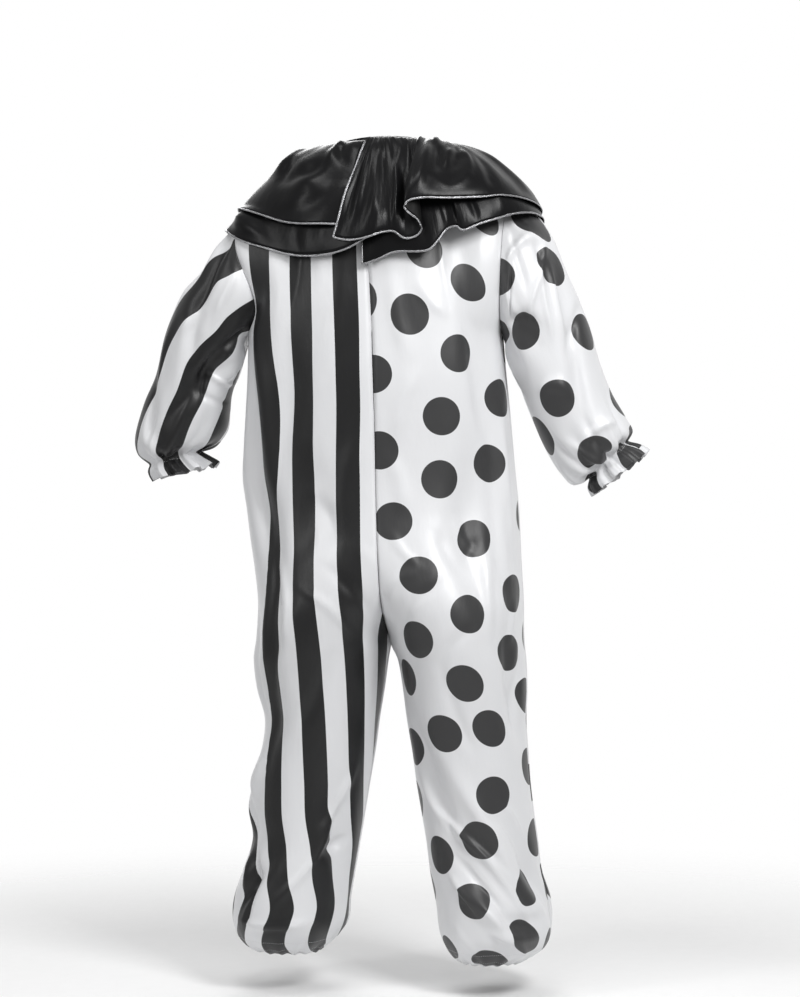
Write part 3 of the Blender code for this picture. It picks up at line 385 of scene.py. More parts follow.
LEFT_SLEEVE_CREASES = [Crease(*row) for row in (
    (20, 0.3, 34, 3.4, 0.008, 0.005, 0.004),
    (48, 0.2, 56, 2.6, 0.009, -0.005, -0.004),
    (84, 0.4, 92, 3, 0.009, 0.0045, 0.005),
    (150, 0.5, 124, 3.2, 0.009, -0.013, 0.004),
    (126, 3, 112, 7.2, 0.01, -0.0085, -0.004),
    (164, 1.2, 146, 5, 0.01, 0.012, 0.006),
    (174, 4.6, 112, 5.6, 0.009, 0.0045, 0.003),
    (170, 6.4, 106, 6.7, 0.009, -0.0045, 0.003),
    (34, 7, 56, 9.2, 0.009, -0.005, 0.004),
    (72, 2.6, 60, 5, 0.01, 0.0045, 0.004),
    (70, 4, 96, 7.6, 0.014, -0.0045, 0.008),
    (36, 5, 52, 9.4, 0.012, 0.0045, -0.006),
    (100, 7, 88, 10.6, 0.01, 0.0055, 0.004),
    (132, 7.4, 112, 10.8, 0.009, -0.006, 0.006),
    (64, 8.4, 70, 10.9, 0.008, 0.0055, -0.003),
    (40, 9, 46, 10.9, 0.007, -0.0045, 0.003),
    (-30, 0.4, -44, 3.2, 0.01, 0.005, 0.006),
    (-70, 0.6, -84, 4.4, 0.012, -0.006, 0.006),
    (-120, 0.8, -138, 4.2, 0.011, 0.007, -0.006),
    (-60, 4.6, -76, 8.4, 0.013, 0.005, 0.008),
    (-128, 5.6, -108, 9.6, 0.012, -0.0065, 0.006),
    (-92, 8, -96, 10.8, 0.008, 0.0055, 0.004),
    (-24, 7.6, -30, 10.8, 0.009, -0.005, 0.004),
    (-160, 7.8, -150, 10.8, 0.008, 0.005, 0.004),
)]
RIGHT_SLEEVE_CREASES = [Crease(*row) for row in (
    (12, 0.1, 22, 1.6, 0.005, 0.004, 0.002),
    (30, 0.1, 36, 1.8, 0.005, -0.004, 0.002),
    (46, 0.1, 54, 2.2, 0.006, 0.0045, -0.002),
    (38, 2.6, 86, 0.5, 0.007, 0.008, 0.006),
    (62, 0.8, 84, 2.6, 0.008, -0.006, 0.004),
    (34, 2.8, 98, 3.2, 0.007, 0.0055, -0.004),
    (84, 1.1, 122, 1.7, 0.006, -0.006, 0.003),
    (62, 3.1, 76, 4.8, 0.006, 0.006, 0.002),
    (44, 3.6, 62, 5.2, 0.006, 0.006, 0.002),
    (128, 1.8, 86, 4.2, 0.007, -0.006, -0.004),
    (6, 5.2, 66, 5.8, 0.009, -0.005, 0.006),
    (40, 9, 92, 8.8, 0.007, 0.0065, 0.006),
    (46, 2.2, 52, 3.8, 0.008, -0.006, 0.003),
    (104, 0.4, 112, 3, 0.009, 0.0045, 0.004),
    (146, 0.6, 134, 4, 0.01, -0.007, 0.006),
    (164, 1.4, 150, 5, 0.009, 0.0065, 0.006),
    (120, 5.6, 80, 7, 0.009, 0.006, -0.008),
    (132, 7.8, 104, 10.6, 0.008, -0.0065, 0.005),
    (112, 8.4, 92, 10.8, 0.007, 0.0065, -0.003),
    (76, 8, 80, 10.8, 0.008, -0.006, 0.003),
    (52, 8.6, 62, 10.8, 0.007, 0.006, 0.002),
    (26, 8, 38, 10.8, 0.008, -0.005, 0.004),
    (150, 8.6, 140, 10.8, 0.007, 0.0055, 0.003),
    (-40, 0.4, -56, 3.2, 0.01, 0.005, 0.006),
    (-88, 0.6, -78, 4.4, 0.012, -0.006, 0.006),
    (-130, 1, -146, 4.2, 0.011, 0.0065, -0.006),
    (-54, 4.6, -70, 8.4, 0.013, 0.005, 0.008),
    (-104, 5.6, -122, 9.6, 0.012, -0.006, 0.006),
    (-84, 8, -90, 10.8, 0.008, 0.0055, 0.004),
    (-20, 7.6, -28, 10.8, 0.009, -0.005, 0.004),
    (-164, 7.8, -156, 10.8, 0.008, 0.005, 0.004),
)]

Half = namedtuple("Half", "name sign sections folds creases rings sleeve_folds sleeve_creases")
LEFT = Half(
    "left", 1, LEFT_SECTIONS, LEFT_FOLDS, LEFT_CREASES, LEFT_RINGS, LEFT_SLEEVE_FOLDS,
    LEFT_SLEEVE_CREASES,
)
RIGHT = Half(
    "right", -1, RIGHT_SECTIONS, RIGHT_FOLDS, RIGHT_CREASES, RIGHT_RINGS, RIGHT_SLEEVE_FOLDS,
    RIGHT_SLEEVE_CREASES,
)


NECK_WIDE = 0.100  # half the neckline's width
NECK_DEEP = 0.088  # half its depth
NECK_BACK_Z = -0.010
NECK_SIDE_Z = -0.018
NECK_FRONT_Z = -0.080
SHOULDER_CROWN = 0.018  # how far the shoulder seam arches over a straight line
NECK_COLUMNS = 5  # columns of a panel that end at the neckline, and not at the shoulder seam

# The centre seam between the neckline and the chest. down is 0 at the neckline and 1 at the chest.
Centre = namedtuple("Centre", "down x y z")
BACK_CENTRE = [
    Centre(0, 0, NECK_DEEP, NECK_BACK_Z),
    Centre(0.25, 0.02, 0.124, -0.075),
    Centre(0.5, 0.028, 0.147, -0.165),
    Centre(0.75, 0.021, 0.161, -0.265),
    Centre(1, 0.015, 0.168, CHEST),
]
FRONT_CENTRE = [
    Centre(0, 0, -NECK_DEEP, NECK_FRONT_Z),
    Centre(0.25, 0.012, -0.112, -0.135),
    Centre(0.5, 0.018, -0.134, -0.205),
    Centre(0.75, 0.018, -0.15, -0.285),
    Centre(1, 0.015, -0.16, CHEST),
]


def neck_point(angle):
    """A point of the neckline. angle is 0 at the centre back and 90 degrees at the wearer's left."""
    cosine = math.cos(angle)
    rise = NECK_BACK_Z - NECK_SIDE_Z if cosine > 0 else NECK_SIDE_Z - NECK_FRONT_Z
    level = NECK_SIDE_Z + rise * math.copysign(cosine * cosine, cosine)
    return Vector((NECK_WIDE * math.sin(angle), NECK_DEEP * cosine, level))


def top_edge(half, facing, share):
    """A panel's top edge: its half of the neckline, then the shoulder seam. facing is 1 at the back."""
    neck_share = NECK_COLUMNS / COLUMNS[facing]
    if share <= neck_share:
        angle = math.pi / 2 * share / neck_share
        angle = angle if facing > 0 else math.pi - angle
        return neck_point(half.sign * angle)
    along = (share - neck_share) / (1 - neck_share)
    neck = neck_point(half.sign * math.pi / 2)
    tip = sleeve_point(half, 0, 0)
    return neck.lerp(tip, along) + UP * SHOULDER_CROWN * math.sin(math.pi * along)


def chest_edge(half, facing, share):
    start = seam_angle(half, CHEST)
    angle = start + share * (math.pi / 2 - start)
    return body_point(half, angle if facing > 0 else math.pi - angle, CHEST)


def yoke_point(half, facing, share, down):
    """A point between neckline and chest, blended from the four edges of that part of the panel."""
    centre = read(BACK_CENTRE if facing > 0 else FRONT_CENTRE, down)
    seam = Vector((centre.x, centre.y, centre.z))
    armhole = sleeve_point(half, facing * math.pi * down, 0)
    top, chest = top_edge(half, facing, share), chest_edge(half, facing, share)
    top_corners = top_edge(half, facing, 0).lerp(top_edge(half, facing, 1), share)
    chest_corners = chest_edge(half, facing, 0).lerp(chest_edge(half, facing, 1), share)
    return top.lerp(chest, down) + seam.lerp(armhole, share) - top_corners.lerp(chest_corners, down)


COLUMNS = {1: 12, -1: 10}  # of a back and a front, which NECK_COLUMNS is counted in
GIRTH = 0.16  # turns an angle round a half into a length, for the creases' widths
SLEEVE_GIRTH = 0.085
SLEEVE_PITCH = 0.042  # the same for a sleeve's rings
DRAPE = 0.0016  # the satin's faint long ripples
DRAPE_WIDE = 0.085
DRAPE_LONG = 0.34
SEAM_DIP = 0.0018  # the stitched seams pull in
SEAM_DIP_WIDE = 0.006
SEAM_DIP_ROWS = 6  # rows from the top edge over which it begins
SEAM_SHARE = 0.25  # share of the creases' height left at a seam
SEAM_RISE = 0.05  # distance from a seam at which they have all of it
CREASE_PAST = 0.2  # share of its length that a crease runs past both its places
CREASE_FADE = 0.5  # share over which it dies out there
PANEL_COLUMNS = {1: 66, -1: 58}
YOKE_STEPS = 56
BODY_STEPS = 200
ANKLE_GATHER = 0.0022
ANKLE_RISE = 0.055
ANKLE_WAVES = 17
ANKLE_DRIFT = 1.5  # how unevenly they are spaced
CHEST_ROWS = 7  # rows above and below the chest where the yoke is eased into the body
CHEST_PASSES = 12


def crease_height(creases, girth, pitch, degrees, at):
    """How far the creases move the cloth out at an angle and a level."""
    height = 0.0
    for crease in creases:
        run_x = math.radians(crease.to_around - crease.around) * girth
        run_y = (crease.to_at - crease.at) * pitch
        x = math.radians((degrees - crease.around + 180) % 360 - 180) * girth
        y = (at - crease.at) * pitch
        long = math.hypot(run_x, run_y)
        share = (x * run_x + y * run_y) / long**2
        if not -CREASE_PAST < share < 1 + CREASE_PAST:
            continue
        off = (x * run_y - y * run_x) / long
        off -= crease.bow * math.sin(math.pi * min(1.0, max(0.0, share)))
        ends = smooth((share + CREASE_PAST) / CREASE_FADE)
        ends *= smooth((1 + CREASE_PAST - share) / CREASE_FADE)
        height += crease.height * ends * math.exp(-((off / crease.width) ** 2))
    return height


def ankle_gather(around, sign, above_hem):
    """The small uneven gathers that the elastic makes at an ankle."""
    pinch = smooth(1 - above_hem / ANKLE_RISE)
    drift = ANKLE_DRIFT * noise.noise(Vector((around / 25, sign, 0)))
    strength = 0.7 + noise.noise(Vector((around / 14, sign, 9)))
    return ANKLE_GATHER * pinch * strength * math.cos(math.radians(around) * ANKLE_WAVES + drift)


def ripple(across, along, seed):
    place = Vector((across / DRAPE_WIDE, along / DRAPE_LONG, seed))
    return DRAPE * noise.noise(place) + DRAPE / 3 * noise.noise(place * 3.1)


# The grain line of each half: the middle of one stripe, or of one column of dots.
Grain = namedtuple("Grain", "z x")
GRAIN = {
    "back_left": [
        Grain(0, 0.15),
        Grain(-0.22, 0.157),
        Grain(-0.47, 0.151),
        Grain(-0.62, 0.154),
        Grain(-0.84, 0.146),
        Grain(-0.99, 0.134),
        Grain(-1.22, 0.127),
        Grain(-1.29, 0.126),
        Grain(-1.35, 0.118),
        Grain(-1.41, 0.116),
        Grain(-1.47, 0.112),
        Grain(-1.53, 0.129),
        Grain(-1.6, 0.15),
    ],
    "front_left": [Grain(0, 0.055), Grain(-0.9, 0.065), Grain(-1.2, 0.1), Grain(-1.6, 0.145)],
    "back_right": [Grain(0, -0.1), Grain(-0.9, -0.11), Grain(-1.2, -0.15), Grain(-1.6, -0.195)],
    "front_right": [Grain(0, -0.11), Grain(-0.9, -0.12), Grain(-1.2, -0.15), Grain(-1.6, -0.195)],
}


# Cloth of the striped back that is lost in a long tuck at its side, by level, and how far the print
# is stretched there: inner on the inner side of the grain line, outer past OUTER_FROM and side past
# SIDE_FROM.
Loss = namedtuple("Loss", "z tuck inner outer side")
LOSSES = {
    "back_left": [
        Loss(0, 0, 1, 1, 0.35),
        Loss(-0.36, 0.004, 1, 0.8, 0.35),
        Loss(-0.46, 0.014, 1, 0.8, 0.35),
        Loss(-0.54, 0.022, 1, 0.8, 0.35),
        Loss(-0.61, 0.018, 1, 0.85, 0.35),
        Loss(-0.71, 0.003, 1, 1.3, 0.35),
        Loss(-0.8, 0, 1, 1.3, 0.35),
        Loss(-0.95, 0, 1, 1, 0.35),
        Loss(-1.22, 0, 1, 1, 0.45),
        Loss(-1.35, 0, 0.78, 1, 1),
        Loss(-1.46, 0, 0.84, 1, 1),
        Loss(-1.62, 0, 1, 1, 1),
    ],
}
NO_LOSSES = [Loss(0, 0, 1, 1, 1), Loss(-2, 0, 1, 1, 1)]
TUCK_AT = 0.040  # across from the grain line, in a white stripe
TUCK_WIDE = 0.014
OUTER_FROM = 0.0705  # the inner edge of the outermost black stripe
SIDE_FROM = 0.1190  # just past its outer edge


def laid(across, loss):
    """The cloth's own place across, with what is lost or stretched."""
    if across < 0:
        return across * loss.inner
    across += loss.tuck * smooth((across - TUCK_AT) / TUCK_WIDE)
    across += (loss.outer - 1) * max(0.0, across - OUTER_FROM)
    return across + (loss.side - 1) * max(0.0, across - SIDE_FROM)


def lay_print(lines, grain, losses, sign):
    """The print's place (across, down) on every point of a panel, in metres of cloth.

    Across is measured along each level line from the grain line, and down along the grain line."""
    places, last, down = [], None, 0.0
    for line in lines:
        lengths = [0.0]
        for a, b in zip(line, line[1:]):
            lengths.append(lengths[-1] + (b - a).length)
        offs = [sign * (point.x - read(grain, point.z).x) for point in line]
        i = next((k for k in range(len(line) - 1) if offs[k] <= 0 < offs[k + 1]), None)
        if i is None:
            i = 0 if offs[0] > 0 else len(line) - 2
        share = offs[i] / (offs[i] - offs[i + 1])
        crossing = line[i].lerp(line[i + 1], share)
        zero = lengths[i] + share * (lengths[i + 1] - lengths[i])
        if last:
            down += (crossing - last).length
        last = crossing
        loss = read(losses, crossing.z)
        places.append([(laid(length - zero, loss), down) for length in lengths])
    return places


def cloth_normals(grid, closed=False):
    """The direction out of a grid of cloth at each of its points, by its right-hand turn."""
    last = len(grid[0]) - 1
    normals = []
    for row, line in enumerate(grid):
        above, below = grid[max(row - 1, 0)], grid[min(row + 1, len(grid) - 1)]
        normals.append([])
        for column in range(last + 1):
            before, after = line[max(column - 1, 0)], line[min(column + 1, last)]
            if closed and column in (0, last):
                before, after = line[last - 1], line[1]
            normals[row].append((after - before).cross(below[column] - above[column]).normalized())
    return normals


def satin_sheet(grid, prints, closed=False):
    """A piece of cloth through a grid of points, with its print's map."""
    rows, columns = len(grid) - 1, len(grid[0]) - 1
    sheet = bmesh.new()
    bmesh.ops.create_grid(sheet, x_segments=columns, y_segments=rows, size=1)
    print_map = sheet.loops.layers.uv.new("print")
    spots = {
        v: (round((v.co.y + 1) / 2 * rows), round((v.co.x + 1) / 2 * columns)) for v in sheet.verts
    }
    for face in sheet.faces:
        for loop in face.loops:
            row, column = spots[loop.vert]
            loop[print_map].uv = prints[row][column]
    for vertex, (row, column) in spots.items():
        vertex.co = grid[row][column]
    if closed:
        bmesh.ops.remove_doubles(sheet, verts=sheet.verts, dist=1e-6)
    return sheet


def put(name, data):
    """An object in the scene, of a mesh, a light or a camera."""
    made = bpy.data.objects.new(name, data)
    bpy.context.scene.collection.objects.link(made)
    return made


def finish_cloth(sheet, outwards, finishes, nodes):
    """Turns a sheet the right way out, gives it its thickness and finish, and puts it in its place.

    outwards is the direction out of the cloth at the middle of the grid."""
    sheet.normal_update()
    sheet.faces.ensure_lookup_table()
    if sheet.faces[len(sheet.faces) // 2].normal.dot(outwards) < 0:
        bmesh.ops.reverse_faces(sheet, faces=sheet.faces[:])
    skin = BVHTree.FromBMesh(sheet)
    mesh = bpy.data.meshes.new(f"{nodes[0]}_cloth")
    sheet.to_mesh(mesh)
    sheet.free()
    mesh.shade_smooth()
    for finish in finishes:
        mesh.materials.append(finish)
    piece = put(f"{nodes[0]}_cloth", mesh)
    wall = piece.modifiers.new("cloth", "SOLIDIFY")
    wall.thickness = CLOTH
    wall.offset = -1
    wall.material_offset = len(finishes) - 1
    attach(piece, "root")
    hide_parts(*nodes)
    return piece, skin


Laid = namedtuple("Laid", "grid normals skin")  # a cloth's outside, the directions out of it, its faces


def panel(half, facing, finishes):
    """One front or back of the suit, from the shoulder to the ankle in one piece."""
    name = f"{'back' if facing > 0 else 'front'}_{half.name}"
    columns = PANEL_COLUMNS[facing]
    hem = half.sections[-1].z
    grid, degrees = [], []
    for row in range(YOKE_STEPS):
        shares = [column / columns for column in range(columns + 1)]
        grid.append([yoke_point(half, facing, share, row / YOKE_STEPS) for share in shares])
        degrees.append([90 * share for share in shares])
    for row in range(BODY_STEPS + 1):
        z = CHEST + (hem - CHEST) * row / BODY_STEPS
        start = seam_angle(half, z)
        end = math.pi / 2 - SEAM / 2 / GIRTH
        angles = [start + (end - start) * column / columns for column in range(columns + 1)]
        turned = angles if facing > 0 else [math.pi - angle for angle in angles]
        grid.append([body_point(half, angle, z) for angle in turned])
        degrees.append([math.degrees(angle) for angle in angles])
    near_chest = range(YOKE_STEPS - CHEST_ROWS, YOKE_STEPS + CHEST_ROWS)
    for _ in range(CHEST_PASSES):
        for row in near_chest:
            for column in range(1, columns):
                beside = grid[row - 1][column] + grid[row + 1][column]
                grid[row][column] = grid[row][column] / 2 + beside / 4
    prints = lay_print(grid, GRAIN[name], LOSSES.get(name, NO_LOSSES), half.sign)
    normals = cloth_normals(grid)
    shaped = []
    for row, line in enumerate(grid):
        shaped.append([])
        for column, point in enumerate(line):
            around = degrees[row][column] if facing > 0 else 180 - degrees[row][column]
            edge = min((point - line[0]).length, (point - line[-1]).length)
            height = crease_height(half.creases, GIRTH, 1, around, point.z)
            height += ripple(*prints[row][column], half.sign * (3 + facing))
            height *= SEAM_SHARE + (1 - SEAM_SHARE) * smooth(edge / SEAM_RISE)
            height *= smooth(row / YOKE_STEPS * 2)
            dip = SEAM_DIP * math.exp(-((edge / SEAM_DIP_WIDE) ** 2))
            height -= dip * smooth(row / SEAM_DIP_ROWS)
            height += ankle_gather(around, half.sign, point.z - hem)
            moved = point + normals[row][column] * half.sign * facing * height
            if column == 0 and point.z > CROTCH:
                moved.x = point.x + half.sign * SEAM / 2
            if column == columns and row <= YOKE_STEPS:
                moved = point.copy()
            if row == 0 and column / columns >= NECK_COLUMNS / COLUMNS[facing]:
                moved.y += facing * SEAM / 2
            shaped[row].append(moved)
    sheet = satin_sheet(shaped, prints)
    piece, skin = finish_cloth(
        sheet, Vector((0, facing, 0)), finishes, (name, f"leg_{name}")
    )
    ways = [[normal * half.sign * facing for normal in line] for line in normals]
    return Laid(shaped, ways, skin)


# The suit's cloth is a polyester satin, printed on its face with stripes or dots. Its face shines
# softly along the warp, and its back is dull with the print showing through.

PAPER_WHITE = (0.76, 0.765, 0.78, 1)
STRIPE_BLACK = (0.006, 0.006, 0.0065, 1)
DOT_BLACK = (0.035, 0.035, 0.036, 1)
BACK_WHITE = (0.62, 0.62, 0.63, 1)
BACK_BLACK = (0.13, 0.13, 0.135, 1)
STRIPE_REPEAT = 0.094  # one black and one white stripe
DOT_RADIUS = 0.0365
PRINT_EDGE = 0.0006  # how soft the print's edge is
PRINT_DULL = 0.08  # how much rougher the print is than the cloth
WARP_DULL = 0.10  # how much the roughness varies from thread to thread


class Value:
    """A number in a material's nodes. Sums on it add Math nodes."""

    def __init__(self, finish, socket):
        self.finish = finish
        self.socket = socket

    def maths(self, operation, *others):
        sockets = dict(enumerate([self, *others]))
        made = self.finish.node("ShaderNodeMath", {"operation": operation}, sockets)
        return Value(self.finish, made.outputs[0])

    def __add__(self, other):
        return self.maths("ADD", other)

    __radd__ = __add__

    def __mul__(self, other):
        return self.maths("MULTIPLY", other)

    __rmul__ = __mul__

    def __sub__(self, other):
        return self.maths("SUBTRACT", other)

    def __rsub__(self, other):
        return (self * -1).maths("ADD", other)

    def __truediv__(self, other):
        return self.maths("DIVIDE", other)

    def held(self):
        """Kept between 0 and 1."""
        return self.maths("MINIMUM", 1).maths("MAXIMUM", 0)


class Finish:
    """A material that is being made up. Its keywords are the shader's constant sockets."""

    def __init__(self, name, **constants):
        self.material = bpy.data.materials.new(name)
        self.material.use_nodes = True
        self.tree = self.material.node_tree
        self.shader = self.tree.nodes["Principled BSDF"]
        for key, value in constants.items():
            self.shader.inputs[key.replace("_", " ")].default_value = value

    def node(self, kind, settings, sockets):
        """Any node: its type, its settings, and the values or links of its sockets."""
        made = self.tree.nodes.new(kind)
        for key, value in settings.items():
            setattr(made, key, value)
        for key, value in sockets.items():
            self.join(made.inputs[key], value)
        return made

    def join(self, socket, value):
        if isinstance(value, Value):
            value = value.socket
        if isinstance(value, bpy.types.NodeSocket):
            self.tree.links.new(value, socket)
        else:
            socket.default_value = value

    def give(self, **sockets):
        for key, value in sockets.items():
            self.join(self.shader.inputs[key.replace("_", " ")], value)

    def map(self, name):
        return self.node("ShaderNodeUVMap", {"uv_map": name}, {}).outputs["UV"]

    def vector(self, operation, *places):
        return self.node("ShaderNodeVectorMath", {"operation": operation}, dict(enumerate(places)))

    def noise(self, place, scale, detail=2.0):
        """Noise over a place, with the place first scaled in each of its directions."""
        place = self.vector("MULTIPLY", place, scale).outputs[0]
        made = self.node("ShaderNodeTexNoise", {}, {"Vector": place, "Scale": 1.0, "Detail": detail})
        return Value(self, made.outputs["Fac"])

    def mix(self, share, first, second):
        made = self.node("ShaderNodeMix", {"data_type": "RGBA"}, {0: share, 6: first, 7: second})
        return made.outputs[2]

    def relief(self, height, distance, strength, under=None):
        sockets = {"Height": height, "Distance": distance, "Strength": strength}
        if under:
            sockets["Normal"] = under
        return self.node("ShaderNodeBump", {}, sockets).outputs["Normal"]


def stripes(finish, place):
    """1 on the black stripes. The middle of a black stripe lies on the grain line."""
    parts = finish.node("ShaderNodeSeparateXYZ", {}, {0: place})
    off = Value(finish, parts.outputs[0]).maths("PINGPONG", STRIPE_REPEAT / 2)
    return ((STRIPE_REPEAT / 4 - off) / PRINT_EDGE + 0.5).held()


def dots(chart):
    """A print of black dots with their middles at the chart's places."""

    def spots(finish, place):
        nearest = None
        for dot in chart:
            made = finish.vector("DISTANCE", place, (dot.across, dot.down, 0))
            off = Value(finish, made.outputs["Value"])
            nearest = nearest.maths("MINIMUM", off) if nearest else off
        return ((DOT_RADIUS - nearest) / PRINT_EDGE + 0.5).held()

    return spots


def satin(name, black_of, white, black, roughness, sheen):
    """Satin with a print, the faint lengthwise slubs of its warp and a slight pucker."""
    finish = Finish(name, Sheen_Weight=sheen, Sheen_Roughness=0.35)
    place = finish.map("print")
    tone = finish.noise(place, (9.0, 2.5, 1.0))
    paler = finish.mix(tone, white, tuple(c * 0.95 for c in white[:3]) + (1,))
    warp = finish.noise(place, (1400.0, 90.0, 1.0), 1.0)
    pucker = finish.noise(place, (26.0, 9.0, 1.0), 3.0)
    printed = black_of(finish, place)
    finish.give(
        Base_Color=finish.mix(printed, paler, black),
        Roughness=roughness + (warp - 0.5) * WARP_DULL + printed * PRINT_DULL,
        Normal=finish.relief(warp, 0.0002, 0.25, finish.relief(pucker, 0.004, 0.35)),
    )
    return finish.material


def satin_faces(name, black_of, black):
    """The face and the back of a printed satin."""
    return (
        satin(name, black_of, PAPER_WHITE, black, 0.36, 0.06),
        satin(f"{name}_back", black_of, BACK_WHITE, BACK_BLACK, 0.62, 0.0),
    )


# Middles of the dots on the cloth, across from the grain line and down from the top edge, in metres.
Dot = namedtuple("Dot", "across down")
BACK_DOTS = [Dot(*row) for row in (
    (-0.02, 0.24), (0.095, 0.135), (-0.145, 0.345), (0.07, 0.285), (-0.045, 0.365), (0.05, 0.435),
    (-0.115, 0.475), (0.16, 0.52), (0.015, 0.555), (-0.105, 0.62), (0.12, 0.645), (0.01, 0.675),
    (-0.08, 0.755), (0.085, 0.79), (0.235, 0.745), (-0.03, 0.86), (0.185, 0.9), (0.065, 0.935),
    (-0.045, 0.985), (0.165, 1.015), (0.04, 1.07), (-0.105, 1.065), (0.215, 1.105), (0.075, 1.16),
    (-0.02, 1.17), (0.19, 1.245), (0.065, 1.29), (0.025, 1.375), (-0.07, 1.41), (0.19, 1.383),
    (0.122, 1.473), (0, 1.495), (0.105, 1.57), (-0.09, 1.61), (0.015, 1.63), (-0.14, 0.15),
    (-0.01, 0.11), (0.09, 0.02), (-0.03, 0), (0.19, 0.06), (0.24, 0.61), (0.27, 0.99),
    (-0.13, 1.205), (-0.155, 1.31), (-0.16, 1.48), (0.25, 1.48), (0.2, 1.6),
)]
FRONT_DOTS = [Dot(0.05 - dot.across, 1.62 - dot.down) for dot in BACK_DOTS]  # turned end for end

striped = satin_faces("striped_satin", stripes, STRIPE_BLACK)
dotted_back = satin_faces("dotted_satin_back", dots(BACK_DOTS), DOT_BLACK)
dotted_front = satin_faces("dotted_satin_front", dots(FRONT_DOTS), DOT_BLACK)
suit = [
    panel(LEFT, 1, striped),
    panel(LEFT, -1, striped),
    panel(RIGHT, 1, dotted_back),
    panel(RIGHT, -1, dotted_front),
]


# ------------------------------------------------------------ sleeves
# Each sleeve is one piece of its half's own satin, set in a round armhole and closed by a seam under
# the arm. An elastic in a stitched casing gathers the wrist, and the cloth past it stands as a frill.

CUFF_WAVES = 12  # gathers at the elastic, which open into the frill's waves
CUFF_GATHER = 0.0030
FRILL_WAVE = 0.0065
SLEEVE_COLUMNS = 128
SLEEVE_ROWS = 130
SLEEVE_WIDTH = {"left": 0.44, "right": 0.52}  # least width that the print is laid over
SLEEVE_EASE = {"left": 0.86, "right": 1.0}  # how closely the print follows the sleeve's girth
SLEEVE_EVEN = 6  # rows on each side over which the print is evened
UNDERARM = math.pi  # where the sleeve's own seam runs

# How far the sleeve's print is turned at a ring, in degrees: the place of a black stripe's middle.
Twist = namedtuple("Twist", "place turn")
SLEEVE_GRAIN = {
    "left": [
        Twist(0, 134),
        Twist(2, 129),
        Twist(4.6, 113),
        Twist(7, 99.5),
        Twist(8.3, 93),
        Twist(9.2, 92),
        Twist(13, 88),
    ],
    "right": [Twist(0, 90), Twist(13, 90)],
}


def cuff_wave(turn, place):
    """The gathers at the wrist elastic, growing into the waves of the frill beyond it."""
    rise = smooth((place - (ELASTIC_RING - 2)) / 2)
    flare = smooth((place - ELASTIC_RING) / (LAST_RING - ELASTIC_RING))
    height = CUFF_GATHER * rise * (1 - flare) + FRILL_WAVE * flare
    uneven = 0.35 * math.sin(2.3 * turn + 1) + 0.30 * math.sin(5 * turn)
    fine = 0.35 * rise * math.cos(31 * turn + 2 * math.sin(3 * turn))
    return height * (math.cos(CUFF_WAVES * turn + uneven) + fine)


def lay_sleeve_print(half, grid, turns, places):
    """The print's place on every point of a sleeve, across from its grain line and down it.

    Each ring is flattened square to the sleeve's own direction before it is measured."""
    middles = [sum(line[1:], Vector()) / SLEEVE_COLUMNS for line in grid]
    rows, downs, last, down = [], [], None, 0.0
    for row, line in enumerate(grid):
        above, below = max(row - SLEEVE_EVEN, 0), min(row + SLEEVE_EVEN, SLEEVE_ROWS)
        axis = (middles[below] - middles[above]).normalized()
        flat = [point - axis * point.dot(axis) for point in line]
        lengths = [0.0]
        for a, b in zip(flat, flat[1:]):
            lengths.append(lengths[-1] + (b - a).length * SLEEVE_EASE[half.name])
        grain = math.radians(read(SLEEVE_GRAIN[half.name], places[row]).turn)
        at = (grain - turns[0]) / (turns[1] - turns[0])
        i, share = int(at), at - int(at)
        zero = lengths[i] + share * (lengths[i + 1] - lengths[i])
        crossing = line[i].lerp(line[i + 1], share)
        if last:
            down += (crossing - last).length
        last = crossing
        gathered = max(1.0, SLEEVE_WIDTH[half.name] / lengths[-1])
        rows.append([(length - zero) * gathered for length in lengths])
        downs.append([down + (point - crossing).dot(axis) for point in line])
    prints = []
    for row in range(SLEEVE_ROWS + 1):
        reach = min(SLEEVE_EVEN, row, SLEEVE_ROWS - row)
        beside = range(row - reach, row + reach + 1)
        prints.append([
            tuple(sum(part[k][i] for k in beside) / len(beside) for part in (rows, downs))
            for i in range(SLEEVE_COLUMNS + 1)
        ])
    return prints


